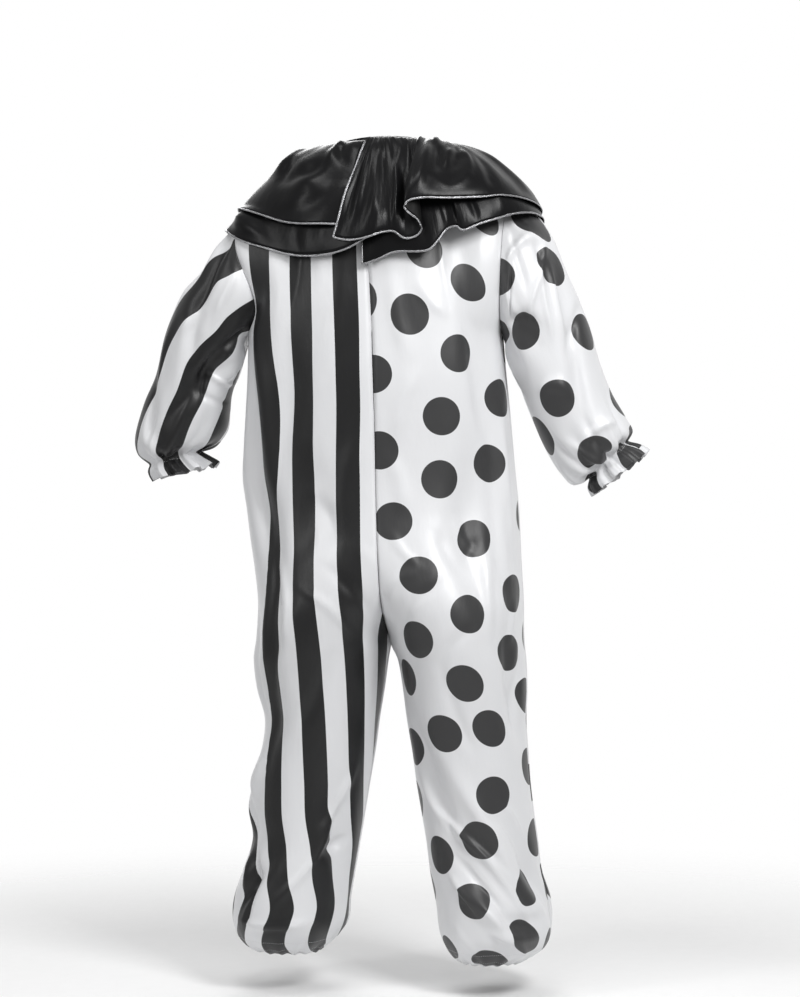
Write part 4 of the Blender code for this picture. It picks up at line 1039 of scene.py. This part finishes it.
def sleeve(half, finishes):
    """A set-in sleeve, from the armhole to the edge of the frill."""
    columns = range(SLEEVE_COLUMNS + 1)
    turns = [2 * math.pi * column / SLEEVE_COLUMNS - UNDERARM for column in columns]
    places = [LAST_RING * row / SLEEVE_ROWS for row in range(SLEEVE_ROWS + 1)]
    grid = [[sleeve_point(half, turn, place) for turn in turns] for place in places]
    normals = cloth_normals(grid, closed=True)
    prints = lay_sleeve_print(half, grid, turns, places)
    tip, back, bottom = (sleeve_point(half, math.radians(a), 0) for a in (0, 90, 180))
    axis = half.sign * (bottom - tip).cross(back - tip).normalized()
    shaped = []
    for row, line in enumerate(grid):
        shaped.append([])
        for column, point in enumerate(line):
            turn = turns[column]
            height = crease_height(
                half.sleeve_creases, SLEEVE_GIRTH, SLEEVE_PITCH, math.degrees(turn), places[row]
            )
            height += DRAPE * noise.noise(Vector((math.cos(turn), math.sin(turn), places[row] / 4)) * 2)
            height *= smooth(places[row] / 0.8)
            height += cuff_wave(turn, places[row])
            moved = point - normals[row][column] * half.sign * height
            if row == 0:
                moved += axis * SEAM
            shaped[row].append(moved)
        shaped[row][-1] = shaped[row][0].copy()
    sheet = satin_sheet(shaped, prints, closed=True)
    sheet.faces.ensure_lookup_table()
    middle = sheet.faces[len(sheet.faces) // 2].calc_center_median()
    centre = sum((point for point in shaped[SLEEVE_ROWS // 2]), Vector()) / (SLEEVE_COLUMNS + 1)
    piece, skin = finish_cloth(sheet, middle - centre, finishes, (f"sleeve_{half.name}",))
    ways = [[normal * -half.sign for normal in line] for line in normals]
    return Laid(shaped, ways, skin)


SLEEVE_DOTS = [Dot(*row) for row in (
    (-0.115, -0.03), (-0.085, 0.05), (0.022, 0.013), (0.035, 0.14), (-0.105, 0.19),
    (0.015, 0.285), (-0.14, 0.355), (0.095, 0.345), (0, 0.415), (-0.06, 0.495), (-0.13, 0.455),
    (-0.195, 0.11), (-0.205, 0.27), (-0.2, -0.02), (-0.23, 0.395), (-0.22, 0.5), (-0.29, 0.05),
    (-0.3, 0.19), (-0.31, 0.33), (-0.32, 0.46), (-0.29, -0.08), (-0.385, -0.02), (-0.39, 0.12),
    (-0.4, 0.26), (-0.395, 0.4), (0.145, 0.215), (0.122, 0.085), (0.085, 0.47),
)]
dotted_sleeve = satin_faces("dotted_satin_sleeve", dots(SLEEVE_DOTS), DOT_BLACK)
suit += [
    sleeve(LEFT, striped),
    sleeve(RIGHT, dotted_sleeve),
]

# ------------------------------------------------------------ the elastics' stitching
# Two rows of white polyester thread hold the elastic inside each ankle, and two more hold it inside
# each wrist. The machine's stitches go through both layers of the cloth.

THREAD = 0.0007
STITCH = 0.0030
STITCH_PITCH = 0.0042
ANKLE_ROWS = (-3, -6)  # rows of a panel, from its hem
WRIST_ROWS = (SLEEVE_ROWS * 10.7 / LAST_RING, SLEEVE_ROWS * 11.3 / LAST_RING)
THREAD_WHITE = (0.66, 0.66, 0.67, 1)


def stitch(sheet, path, ways):
    """Stitches end to end along a line on the cloth, each a thin capsule.

    ways point out of the cloth."""
    run = 0.0
    for (a, b), way in zip(zip(path, path[1:]), ways):
        long = (b - a).length
        ahead = (b - a).normalized()
        beside = way.cross(ahead)
        sides = Matrix((ahead * STITCH / 2, beside * THREAD / 2, way * THREAD / 2))
        turned = sides.transposed().to_4x4()
        while run < long:
            placed = Matrix.Translation(a + ahead * run) @ turned
            bmesh.ops.create_uvsphere(sheet, u_segments=6, v_segments=4, radius=1, matrix=placed)
            run += STITCH_PITCH
        run -= long


def stitches(name, rows):
    finish = Finish("white_thread", Sheen_Weight=0.2)
    place = finish.node("ShaderNodeTexCoord", {}, {}).outputs["Object"]
    twist = finish.noise(place, (2500.0, 2500.0, 2500.0))
    finish.give(
        Base_Color=finish.mix(twist, tuple(c * 0.8 for c in THREAD_WHITE[:3]) + (1,), THREAD_WHITE),
        Roughness=0.5 + twist * 0.2,
    )
    whole, mesh = bmesh.new(), bpy.data.meshes.new(name)
    for path, ways in rows:
        row = bmesh.new()
        stitch(row, path, ways)
        row.to_mesh(mesh)
        row.free()
        whole.from_mesh(mesh)
    whole.to_mesh(mesh)
    whole.free()
    mesh.shade_smooth()
    mesh.materials.append(finish.material)
    piece = put(name, mesh)
    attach(piece, "root")


stitches(
    "elastic_stitches",
    [(cloth.grid[row], cloth.normals[row]) for cloth in suit[:4] for row in ANKLE_ROWS]
    + [(cloth.grid[round(row)], cloth.normals[round(row)]) for cloth in suit[4:] for row in WRIST_ROWS],
)

# ------------------------------------------------------------ neckband
# A doubled strip of black satin, stitched round the neckline and standing up from it. Both tiers of
# the collar are gathered on it. It closes at the back, a little to the wearer's left.

BAND_HEIGHT = 0.024
BAND_CLOSE = 36  # degrees from the centre back towards the wearer's left, where the band closes
BAND_COLUMNS = 160
BAND_ROWS = 8
SATIN_BLACK = (0.005, 0.005, 0.0055, 1)
LINING_BLACK = (0.008, 0.008, 0.008, 1)


def black_satin(name, base, roughness):
    """Plain black satin, with the slubs of its warp and a slight pucker."""
    finish = Finish(name, Specular_IOR_Level=0.17, Base_Color=base)
    place = finish.map("print")
    warp = finish.noise(place, (1400.0, 90.0, 1.0), 1.0)
    pucker = finish.noise(place, (34.0, 16.0, 1.0), 3.0)
    finish.give(
        Roughness=roughness + (warp - 0.5) * 0.08,
        Normal=finish.relief(warp, 0.0002, 0.10, finish.relief(pucker, 0.004, 0.30)),
    )
    return finish.material


def band_point(angle, rise, out):
    """A point above the neckline, out from its wall. angle is in degrees."""
    radians = math.radians(angle)
    away = Vector((math.sin(radians) / NECK_WIDE, math.cos(radians) / NECK_DEEP, 0)).normalized()
    return neck_point(radians) + away * out + UP * rise


def neckband(finishes):
    grid, prints = [], []
    for row in range(BAND_ROWS + 1):
        rise = SEAM + BAND_HEIGHT * row / BAND_ROWS
        grid.append([])
        prints.append([])
        for column in range(BAND_COLUMNS + 1):
            angle = BAND_CLOSE - 359.6 * column / BAND_COLUMNS
            bulge = 0.0008 * math.sin(math.pi * row / BAND_ROWS)
            bulge += 0.0005 * math.sin(math.radians(angle) * 41 + 2 * math.sin(math.radians(7 * angle)))
            grid[row].append(band_point(angle, rise, bulge))
            prints[row].append((math.radians(angle) * NECK_WIDE, rise))
    sheet = satin_sheet(grid, prints)
    sheet.faces.ensure_lookup_table()
    middle = sheet.faces[len(sheet.faces) // 2].calc_center_median()
    piece, skin = finish_cloth(
        sheet, Vector((middle.x, middle.y, 0)), finishes, ("collar_band",)
    )
    return skin


collar_satin = (
    black_satin("black_satin", SATIN_BLACK, 0.32),
    black_satin("black_satin_back", LINING_BLACK, 0.42),
)
neckband(collar_satin)

# ------------------------------------------------------------ the collar's lower and upper tiers
# Two long strips of black satin, each gathered along one edge and sewn to the neckband so that it
# falls in flutes over the shoulders. The lower strip is deeper. Their ends overlap at the back.

# Spokes of a tier, from one end of the strip to the other. neck is the angle round the neckband in
# degrees, as in neck_point. x, y and z are the tier's hem. lift is how high the cloth stands off
# on its way out, and flare how far it swings out above the hem.
Spoke = namedtuple("Spoke", "place neck x y z lift flare")

UPPER_SPOKES = [Spoke(*row) for row in (
    (0, 18, 0.084, 0.18, -0.183, 0.024, 0.004),
    (1, 14, 0.054, 0.183, -0.189, 0.02, 0.004),
    (2, 10, 0.016, 0.185, -0.184, 0.016, 0),
    (3, 6, -0.013, 0.187, -0.173, 0.018, 0.002),
    (4, 1, -0.032, 0.189, -0.173, 0.018, 0.002),
    (4.9, -5, -0.052, 0.189, -0.186, 0.02, 0.001),
    (5.6, -12, -0.0738, 0.184, -0.18, 0.018, 0),
    (6.2, -19, -0.0822, 0.185, -0.165, 0.016, 0),
    (6.8, -28, -0.076, 0.193, -0.15, 0.018, 0),
    (7.4, -38, -0.0616, 0.202, -0.139, 0.022, 0.001),
    (8, -48, -0.0529, 0.208, -0.126, 0.026, 0.004),
    (8.6, -55, -0.063, 0.209, -0.115, 0.028, 0.006),
    (9.3, -60, -0.092, 0.202, -0.11, 0.028, 0.004),
    (10.2, -65, -0.137, 0.186, -0.11, 0.03, 0.004),
    (11, -70, -0.189, 0.163, -0.107, 0.026, 0),
    (12, -76, -0.222, 0.135, -0.104, 0.022, 0),
    (13, -84, -0.252, 0.094, -0.107, 0.02, -0.004),
    (14, -94, -0.273, 0.04, -0.116, 0.022, -0.004),
    (15, -106, -0.278, -0.022, -0.128, 0.024, -0.002),
    (16, -117, -0.262, -0.082, -0.142, 0.026, -0.004),
    (17, -130, -0.222, -0.12, -0.168, 0.03, 0.008),
    (18, -142, -0.178, -0.164, -0.172, 0.024, -0.004),
    (19, -152, -0.138, -0.166, -0.2, 0.026, 0.01),
    (20, -162, -0.098, -0.196, -0.19, 0.02, -0.004),
    (21, -171, -0.058, -0.18, -0.212, 0.024, 0.01),
    (22, -180, -0.012, -0.206, -0.2, 0.02, -0.004),
    (23, -190, 0.034, -0.184, -0.216, 0.024, 0.01),
    (24, -200, 0.082, -0.202, -0.2, 0.022, -0.004),
    (25, -211, 0.124, -0.172, -0.206, 0.026, 0.008),
    (26, -223, 0.172, -0.17, -0.184, 0.03, 0),
    (27, -236, 0.214, -0.128, -0.182, 0.032, 0.004),
    (28, -249, 0.262, -0.09, -0.156, 0.03, -0.004),
    (29, -262, 0.286, -0.03, -0.14, 0.03, -0.004),
    (30, -275, 0.288, 0.03, -0.126, 0.03, -0.004),
    (31, -293, 0.246, 0.092, -0.136, 0.034, 0),
    (32, -314, 0.16, 0.15, -0.155, 0.028, 0.002),
    (33, -342, 0.056, 0.158, -0.164, 0.002, -0.008),
)]
LOWER_SPOKES = [Spoke(*row) for row in (
    (0, 24, 0.03, 0.176, -0.233, 0.014, 0.002),
    (1, 16, 0.002, 0.178, -0.224, 0.012, 0.002),
    (2, 8, -0.031, 0.178, -0.21, 0.01, 0.002),
    (3, -1, -0.089, 0.18, -0.209, 0.01, 0.002),
    (4, -9, -0.111, 0.175, -0.19, 0.01, 0),
    (5, -16, -0.127, 0.168, -0.168, 0.01, -0.002),
    (6, -23, -0.146, 0.168, -0.162, 0.01, 0),
    (7, -30, -0.16, 0.17, -0.17, 0.012, 0.002),
    (8, -38, -0.191, 0.16, -0.157, 0.016, 0.002),
    (9, -47, -0.215, 0.148, -0.149, 0.022, 0),
    (10, -58, -0.248, 0.118, -0.137, 0.022, 0),
    (11, -70, -0.272, 0.08, -0.132, 0.022, 0),
    (12, -83, -0.286, 0.035, -0.132, 0.018, -0.002),
    (13, -97, -0.291, -0.022, -0.142, 0.02, -0.002),
    (14, -110, -0.276, -0.08, -0.168, 0.02, -0.002),
    (15, -123, -0.24, -0.116, -0.196, 0.018, 0.004),
    (16, -135, -0.196, -0.152, -0.204, 0.012, -0.004),
    (17, -146, -0.156, -0.158, -0.232, 0.012, 0.006),
    (18, -157, -0.112, -0.178, -0.222, 0.008, -0.004),
    (19, -167, -0.068, -0.17, -0.246, 0.008, 0.006),
    (20, -176, -0.026, -0.186, -0.232, 0.008, -0.004),
    (21, -186, 0.022, -0.172, -0.248, 0.008, 0.006),
    (22, -196, 0.07, -0.184, -0.232, 0.008, -0.004),
    (23, -207, 0.116, -0.164, -0.24, 0.01, 0.006),
    (24, -218, 0.162, -0.158, -0.218, 0.014, -0.004),
    (25, -230, 0.208, -0.128, -0.212, 0.02, 0.004),
    (26, -243, 0.254, -0.098, -0.19, 0.024, 0),
    (27, -256, 0.294, -0.046, -0.178, 0.022, -0.002),
    (28, -269, 0.316, 0.01, -0.166, 0.022, -0.004),
    (29, -281, 0.29, 0.066, -0.182, 0.022, -0.002),
    (30, -293, 0.232, 0.112, -0.198, 0.02, 0.002),
    (31, -305, 0.165, 0.146, -0.214, 0.014, 0.002),
    (32, -320, 0.102, 0.17, -0.214, 0.014, 0.002),
    (32.5, -332, 0.056, 0.186, -0.202, 0.016, 0.002),
    (33, -346, 0.012, 0.193, -0.176, 0.02, 0),
)]
CROWN_REACH = 0.38  # how far out, and how far up from the hem, a spoke's curve is pulled
HANG = 0.32
TIER_COLUMNS = 66  # two for each spoke
FINE_COLUMNS = 396
FINE_ROWS = 34
UPPER_SEAT = (0.0220, 0.0150)  # height above the neckline at which a tier's ends are sewn on
LOWER_SEAT = (0.0070, 0.0110)
END_FALL = 9  # columns over which the first end's straight fall dies out
CALM_BACK = (26, 54)  # the pleats are soft before the first of these columns and after the last
CALM_LEAST = 0.35  # share of the pleats' height left there
CALM_OVER = 8  # columns over which they soften
PLEAT = 0.0038  # height of the gathers at the band
PLEAT_FREE = 4  # columns beside the strip's ends over which the gathers begin
TIER_CLEAR = 0.0045  # a tier's outside stays this far above the cloth under it
TIER_REACH = 0.0300  # how far off a cloth is looked for
EASE_BESIDE = 4  # fine columns
EVEN_PASSES = 5  # how many times a row is evened out, away from the band
EVEN_FIRST = 84  # fine columns of the first end, where each pass evens it; the rest takes one pass


def resting(point, cloths):
    """How far a point must move out so as not to come too near to the cloth under it."""
    moved = point
    for cloth in cloths:
        nearest, normal, _, distance = cloth.skin.find_nearest(moved)
        height = (moved - nearest).dot(normal)
        if distance < TIER_REACH and height < TIER_CLEAR:
            moved = moved + normal * (TIER_CLEAR - height)
    return moved - point


def from_near(moves, pick):
    """What pick makes of the moves beside each one in a row."""
    return [pick(moves[max(0, i - EASE_BESIDE) : i + EASE_BESIDE + 1]) for i in range(len(moves))]


def eased(moves):
    """The moves of a row with their sharp changes spread to the points beside them."""
    widened = from_near(moves, lambda near: max(near, key=lambda move: move.length))
    return from_near(widened, lambda near: sum(near, Vector()) / len(near))


def tier_point(spokes, seat, column, down, seed):
    """A point of a tier's upper side, on a curve from the band over the crown to the hem."""
    spoke = read(spokes, spokes[-1].place * column / TIER_COLUMNS)
    neck = band_point(spoke.neck, seat[0] + (seat[1] - seat[0]) * column / TIER_COLUMNS, 2 * SEAM)
    hem = Vector((spoke.x, spoke.y, spoke.z))
    out = Vector((hem.x - neck.x, hem.y - neck.y, 0))
    over = neck + out * CROWN_REACH + UP * spoke.lift
    fall = hem + UP * HANG * (neck.z - hem.z) + out.normalized() * spoke.flare
    up = 1 - down
    point = neck * up**3 + over * 3 * up * up * down + fall * 3 * up * down * down + hem * down**3
    fallen = min(1.0, max(0.0, (neck.z - point.z) / (neck.z - hem.z)))
    point.x += (neck.x + (hem.x - neck.x) * fallen - point.x) * smooth(1 - column / END_FALL)
    free = smooth(min(column, TIER_COLUMNS - column) / PLEAT_FREE)
    calm = (1 - CALM_LEAST) * smooth((column - CALM_BACK[0]) / CALM_OVER)
    calm = CALM_LEAST + calm * smooth((CALM_BACK[1] - column) / CALM_OVER)
    phase = 1.4 * noise.noise(Vector((column * 0.21, seed, 0.0)))
    strength = 0.75 + 0.9 * noise.noise(Vector((column * 0.37, seed, 5.0)))
    broad = math.cos(math.pi * column + 2 * phase) * strength * calm
    broad *= math.sin(math.pi * min(1.0, down * 1.8))
    fine = 0.25 * calm * math.cos(2.6 * math.pi * column + 5 * phase)
    fine = fine * smooth(down / 0.05) * smooth((0.3 - down) / 0.2)
    return point + UP * PLEAT * free * (broad + fine)


# The flutes and tucks of the tiers. around runs along the strip, 0 at its first end and 360 at its
# last, and at runs down it, 0 at the band and 1 at the hem.
UPPER_FLUTES = [Crease(*row) for row in (
    (51, 0.44, 42, 0.92, 0.008, 0.0085),
    (57, 0.5, 53, 0.92, 0.007, -0.0075),
    (33, 0.4, 31, 0.8, 0.011, -0.0065),
    (28, 0.66, 18, 0.96, 0.01, 0.0035),
    (60, 0.24, 52, 0.47, 0.005, 0.0045),
    (67, 0.24, 59, 0.5, 0.005, -0.0045),
    (74, 0.24, 66, 0.46, 0.005, 0.0045),
    (84, 0.1, 86, 0.3, 0.012, 0.005),
    (101, 0.36, 98, 0.84, 0.012, 0.0065),
    (106, 0.06, 105, 0.3, 0.018, 0.006),
    (109, 0.38, 108, 0.66, 0.009, -0.008),
    (103, 0.68, 110, 0.86, 0.008, 0.003),
    (119, 0.7, 112, 0.86, 0.007, 0.0035),
    (115, 0.4, 110, 0.62, 0.005, 0.0045),
    (120, 0.36, 113, 0.66, 0.006, -0.007),
    (125, 0.4, 117, 0.74, 0.007, 0.0045),
    (134, 0.44, 128, 0.9, 0.014, -0.0045),
    (150, 0.3, 153, 0.85, 0.014, 0.006, 0.004),
    (166, 0.35, 170, 0.95, 0.012, -0.006),
    (186, 0.25, 181, 0.9, 0.01, 0.0055, 0.003),
    (203, 0.35, 207, 0.95, 0.012, -0.006),
    (222, 0.3, 218, 0.9, 0.01, 0.0055, -0.003),
    (240, 0.35, 245, 0.9, 0.012, -0.0055, 0.004),
    (262, 0.3, 258, 0.85, 0.011, 0.006),
    (281, 0.35, 286, 0.95, 0.013, -0.0055),
    (302, 0.25, 304, 0.85, 0.014, 0.0055, 0.004),
    (18, 0.28, 11, 0.85, 0.01, 0.0065, 0.002),
    (11, 0.34, 4, 0.8, 0.009, -0.0055),
    (340, 0.4, 350, 0.7, 0.011, 0.0055, 0.003),
    (350, 0.48, 340, 0.64, 0.009, -0.0045, 0.002),
    (345, 0.84, 354, 0.68, 0.01, 0.005, -0.002),
    (356, 0.44, 352, 0.84, 0.01, -0.0045, 0.003),
    (328, 0.3, 335, 0.52, 0.022, 0.013),
    (335, 0.42, 340, 0.64, 0.006, -0.0065),
    (345, 0.76, 351, 0.58, 0.014, 0.005),
    (346, 0.6, 350, 0.44, 0.008, -0.003),
    (350, 0.14, 352, 0.42, 0.004, 0.0085),
    (352, 0.26, 357, 0.46, 0.004, -0.008),
    (355, 0.18, 359, 0.36, 0.005, 0.004),
)]
LOWER_FLUTES = [Crease(*row) for row in (
    (27, 0.7, 25, 1, 0.005, 0.005),
    (33, 0.74, 34, 1, 0.005, -0.0055),
    (54, 0.66, 54, 0.98, 0.004, 0.005),
    (62, 0.66, 64, 1, 0.003, -0.006),
    (70, 0.66, 70, 1, 0.004, 0.005),
    (84, 0.7, 86, 1, 0.008, -0.0045),
    (104, 0.7, 104, 1, 0.01, 0.0035),
    (320, 0.84, 328, 0.94, 0.009, 0.0045),
    (337, 0.8, 340, 1, 0.006, -0.0045),
    (347, 0.76, 349, 1, 0.01, 0.0035),
)]
TIER_GIRTH = 0.23  # turns an angle along the strip into a length
TIER_FALL = 0.18  # the strip's depth
SWAY = 0.0050  # height of its broad soft folds


def upward(normals):
    """1, or -1 where a tier's normals point down at its middle."""
    return -1 if normals[FINE_ROWS // 3][FINE_COLUMNS // 2].z < 0 else 1


def tier(node, spokes, flutes, seat, seed, under, finishes, flat):
    """One tier of the ruffled collar, a long strip gathered on the neckband."""
    smooth_grid = [
        [
            tier_point(spokes, seat, TIER_COLUMNS * column / FINE_COLUMNS, row / FINE_ROWS, seed)
            for column in range(FINE_COLUMNS + 1)
        ]
        for row in range(FINE_ROWS + 1)
    ]
    normals = cloth_normals(smooth_grid)
    outwards = upward(normals)
    grid = []
    for row, line in enumerate(smooth_grid):
        down = row / FINE_ROWS
        folded = []
        for column, point in enumerate(line):
            around = 360 * column / FINE_COLUMNS
            height = crease_height(flutes, TIER_GIRTH, TIER_FALL, around, down)
            height += SWAY * noise.noise(Vector((around * 0.06, down * 0.9, seed))) * smooth(down * 2.5)
            height *= smooth(down / 0.12) * smooth((1.05 - down) / 0.28)
            folded.append(point + normals[row][column] * outwards * height)
        if row > 1:
            moves = eased([resting(point, under) for point in folded])
            folded = [point + move for point, move in zip(folded, moves)]
        for turn in range(round(EVEN_PASSES * smooth((down - 0.12) / 0.3))):
            last = FINE_COLUMNS if turn == 0 else EVEN_FIRST
            beside = zip(folded, folded[1:last], folded[2:])
            folded[1:last] = [point / 2 + (before + after) / 4 for before, point, after in beside]
        grid.append(folded)
    prints = []
    downs = [0.0] * (FINE_COLUMNS + 1)
    for row, line in enumerate(grid):
        if row:
            downs = [down + (line[i] - grid[row - 1][i]).length for i, down in enumerate(downs)]
        prints.append([(flat[0] * i / FINE_COLUMNS, down) for i, down in enumerate(downs)])
    normals = cloth_normals(grid)
    outwards = upward(normals)
    normals = [[normal * outwards for normal in line] for line in normals]
    sheet = satin_sheet(grid, prints)
    piece, skin = finish_cloth(sheet, UP, finishes, (node,))
    return Laid(grid, normals, skin)


lower_tier = tier(
    "collar_lower", LOWER_SPOKES, LOWER_FLUTES, LOWER_SEAT, 2.0, suit, collar_satin, (1.90, 0.21)
)
upper_tier = tier(
    "collar_upper", UPPER_SPOKES, UPPER_FLUTES, UPPER_SEAT, 7.0, suit + [lower_tier], collar_satin,
    (1.90, 0.185),
)

# ------------------------------------------------------------ the tiers' braid
# A narrow crocheted braid of silver lurex, stitched along each tier's hem and up both of its ends,
# with rounded loops that catch the light in specks.

BRAID_WIDE = 0.0042
BRAID_THICK = 0.0022
BRAID_START = 0.24  # how far down a tier's end edge the braid begins
BRAID_SIDES = 8
BRAID_LOOP = 0.0035
SILVER = (0.62, 0.62, 0.64, 1)
# the darker silver between the braid's painted glints
SILVER_BETWEEN_GLINTS = (0.10, 0.10, 0.105, 1)


def silver_braid():
    finish = Finish("silver_braid", Metallic=0.85)
    place = finish.map("print")
    glint_and_relief_specks = finish.noise(place, (900.0, 900.0, 1.0), 2.0)
    loops = finish.noise(place, (300.0, 420.0, 1.0), 1.0)
    finish.give(
        # The base colour is painted glints: silver specks on darker silver, where the loops catch the
        # light. The same specks also give the braid real relief and roughness.
        Base_Color=finish.mix(((glint_and_relief_specks - 0.40) * 5).held(), SILVER_BETWEEN_GLINTS, SILVER),
        Roughness=0.22 + glint_and_relief_specks * 0.25,
        Normal=finish.relief(glint_and_relief_specks, 0.0008, 0.8, finish.relief(loops, 0.001, 0.8)),
    )
    return finish.material


def braid(node, edged, finish):
    """The braid round a tier: down one end of the strip, along its hem and up the other."""
    start = round(FINE_ROWS * BRAID_START)
    rows = range(start, FINE_ROWS, 2)
    path = [(row, 0) for row in rows]
    path += [(FINE_ROWS, column) for column in range(FINE_COLUMNS + 1)]
    path += [(row, FINE_COLUMNS) for row in reversed(rows)]
    normals = [edged.normals[row][column] for row, column in path]
    middle = [edged.grid[row][column] for row, column in path]
    sides = []
    for i in range(len(path)):
        ahead = middle[min(i + 1, len(path) - 1)] - middle[max(i - 1, 0)]
        sides.append(ahead.cross(normals[i]).normalized())
    inside = edged.grid[FINE_ROWS - 1][FINE_COLUMNS // 2] - edged.grid[FINE_ROWS][FINE_COLUMNS // 2]
    half_way = path.index((FINE_ROWS, FINE_COLUMNS // 2))
    out = -1 if sides[half_way].dot(inside) > 0 else 1
    grid, prints, along = [], [], 0.0
    for i in range(len(path)):
        if i:
            along += (middle[i] - middle[i - 1]).length
        loop = 1 + 0.14 * math.sin(2 * math.pi * along / BRAID_LOOP)
        centre = middle[i] + sides[i] * out * BRAID_WIDE * 0.42 - normals[i] * CLOTH / 2
        grid.append([])
        prints.append([])
        for k in range(BRAID_SIDES + 1):
            turn = 2 * math.pi * (k % BRAID_SIDES) / BRAID_SIDES
            away = sides[i] * out * BRAID_WIDE / 2 * loop * math.cos(turn)
            grid[i].append(centre + away + normals[i] * BRAID_THICK / 2 * math.sin(turn))
            prints[i].append((along, 0.012 * k / BRAID_SIDES))
    sheet = satin_sheet(grid, prints, closed=True)
    ends = [edge for edge in sheet.edges if edge.is_boundary]
    bmesh.ops.holes_fill(sheet, edges=ends, sides=0)
    bmesh.ops.recalc_face_normals(sheet, faces=sheet.faces[:])
    mesh = bpy.data.meshes.new(f"{node}_cord")
    sheet.to_mesh(mesh)
    sheet.free()
    mesh.shade_smooth()
    mesh.materials.append(finish)
    piece = put(f"{node}_cord", mesh)
    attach(piece, "root")
    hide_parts(node)


silver = silver_braid()
braid("braid_lower", lower_tier, silver)
braid("braid_upper", upper_tier, silver)

# ------------------------------------------------------------ floor, light and camera
# The studio the costume is shown in: a pale floor, a white surround and large soft lights.

FLOOR_Z = -1.635
FLOOR_SIZE = 4.4
FLOOR_NEAR = 0.7  # the floor fades into the backdrop between these distances from its middle
FLOOR_FAR = 2.1
AIM = Vector((-0.0156, 0.0, -0.683))
CAMERA_TURN = 188.0
CAMERA_RISE = 1.5
CAMERA_FAR = 6.0
CAMERA_LENS = 111.1
SENSOR = 36.0
BACKDROP_LIGHT = 1.0
ROOM_LIGHT = 0.36

floor_finish = Finish("floor_paper", Roughness=0.9)
paper = floor_finish.node("ShaderNodeTexCoord", {}, {}).outputs["Object"]
fibre = floor_finish.noise(paper, (40.0, 40.0, 40.0))
flat_place = floor_finish.vector("MULTIPLY", paper, (1, 1, 0)).outputs[0]
reach = floor_finish.vector("LENGTH", flat_place).outputs["Value"]
fade = ((FLOOR_FAR - Value(floor_finish, reach)) / (FLOOR_FAR - FLOOR_NEAR)).held()
floor_finish.give(
    Base_Color=floor_finish.mix(fibre, (0.86, 0.86, 0.86, 1), (0.89, 0.89, 0.89, 1)),
    Alpha=fade * fade * (3 - fade * 2),
)
floor_sheet = bmesh.new()
bmesh.ops.create_grid(floor_sheet, x_segments=1, y_segments=1, size=FLOOR_SIZE / 2)
bmesh.ops.translate(floor_sheet, verts=floor_sheet.verts, vec=(0, 0, FLOOR_Z))
floor_mesh = bpy.data.meshes.new("floor")
floor_sheet.to_mesh(floor_mesh)
floor_sheet.free()
floor_mesh.materials.append(floor_finish.material)
floor = put("floor", floor_mesh)

# The surround is brightest behind the costume, as a lit backdrop is, and dimmer on the camera's side.
world = bpy.data.worlds.new("studio")
world.use_nodes = True
nodes, links = world.node_tree.nodes, world.node_tree.links
ahead = nodes.new("ShaderNodeSeparateXYZ")
links.new(nodes.new("ShaderNodeTexCoord").outputs["Generated"], ahead.inputs[0])
share = nodes.new("ShaderNodeMapRange")
share.interpolation_type = "SMOOTHSTEP"
links.new(ahead.outputs["Y"], share.inputs["Value"])
share.inputs["From Min"].default_value = -0.92
share.inputs["From Max"].default_value = -0.3
share.inputs["To Min"].default_value = BACKDROP_LIGHT
share.inputs["To Max"].default_value = ROOM_LIGHT
links.new(share.outputs["Result"], nodes["Background"].inputs["Strength"])
nodes["Background"].inputs["Color"].default_value = (1, 1, 1, 1)
bpy.context.scene.world = world

Softbox = namedtuple("Softbox", "name x y z wide high power")
SOFTBOXES = [
    Softbox("key", -1.6, 1.9, 1.0, 0.9, 1.1, 60),
    Softbox("fill", 2.1, 1.9, 0.7, 0.6, 1.6, 17),
    Softbox("top", 0.3, 0.9, 1.7, 1.0, 0.6, 14),
    Softbox("front", 0.8, -3.0, 1.2, 1.6, 1.6, 38),
]
for box in SOFTBOXES:
    light = bpy.data.lights.new(box.name, "AREA")
    light.shape = "RECTANGLE"
    light.size = box.wide
    light.size_y = box.high
    light.energy = box.power
    lamp = put(box.name, light)
    lamp.location = (box.x, box.y, box.z)
    lamp.rotation_euler = (AIM - lamp.location).to_track_quat("-Z", "Y").to_euler()

turn, rise = math.radians(CAMERA_TURN), math.radians(CAMERA_RISE)
away = Vector((math.sin(turn) * math.cos(rise), -math.cos(turn) * math.cos(rise), math.sin(rise)))
lens = bpy.data.cameras.new("camera")
lens.sensor_width = SENSOR
lens.lens = CAMERA_LENS
camera = put("camera", lens)
camera.location = AIM + away * CAMERA_FAR
camera.rotation_euler = (-away).to_track_quat("-Z", "Y").to_euler()
bpy.context.scene.camera = camera
bpy.context.scene.view_settings.view_transform = "Standard"
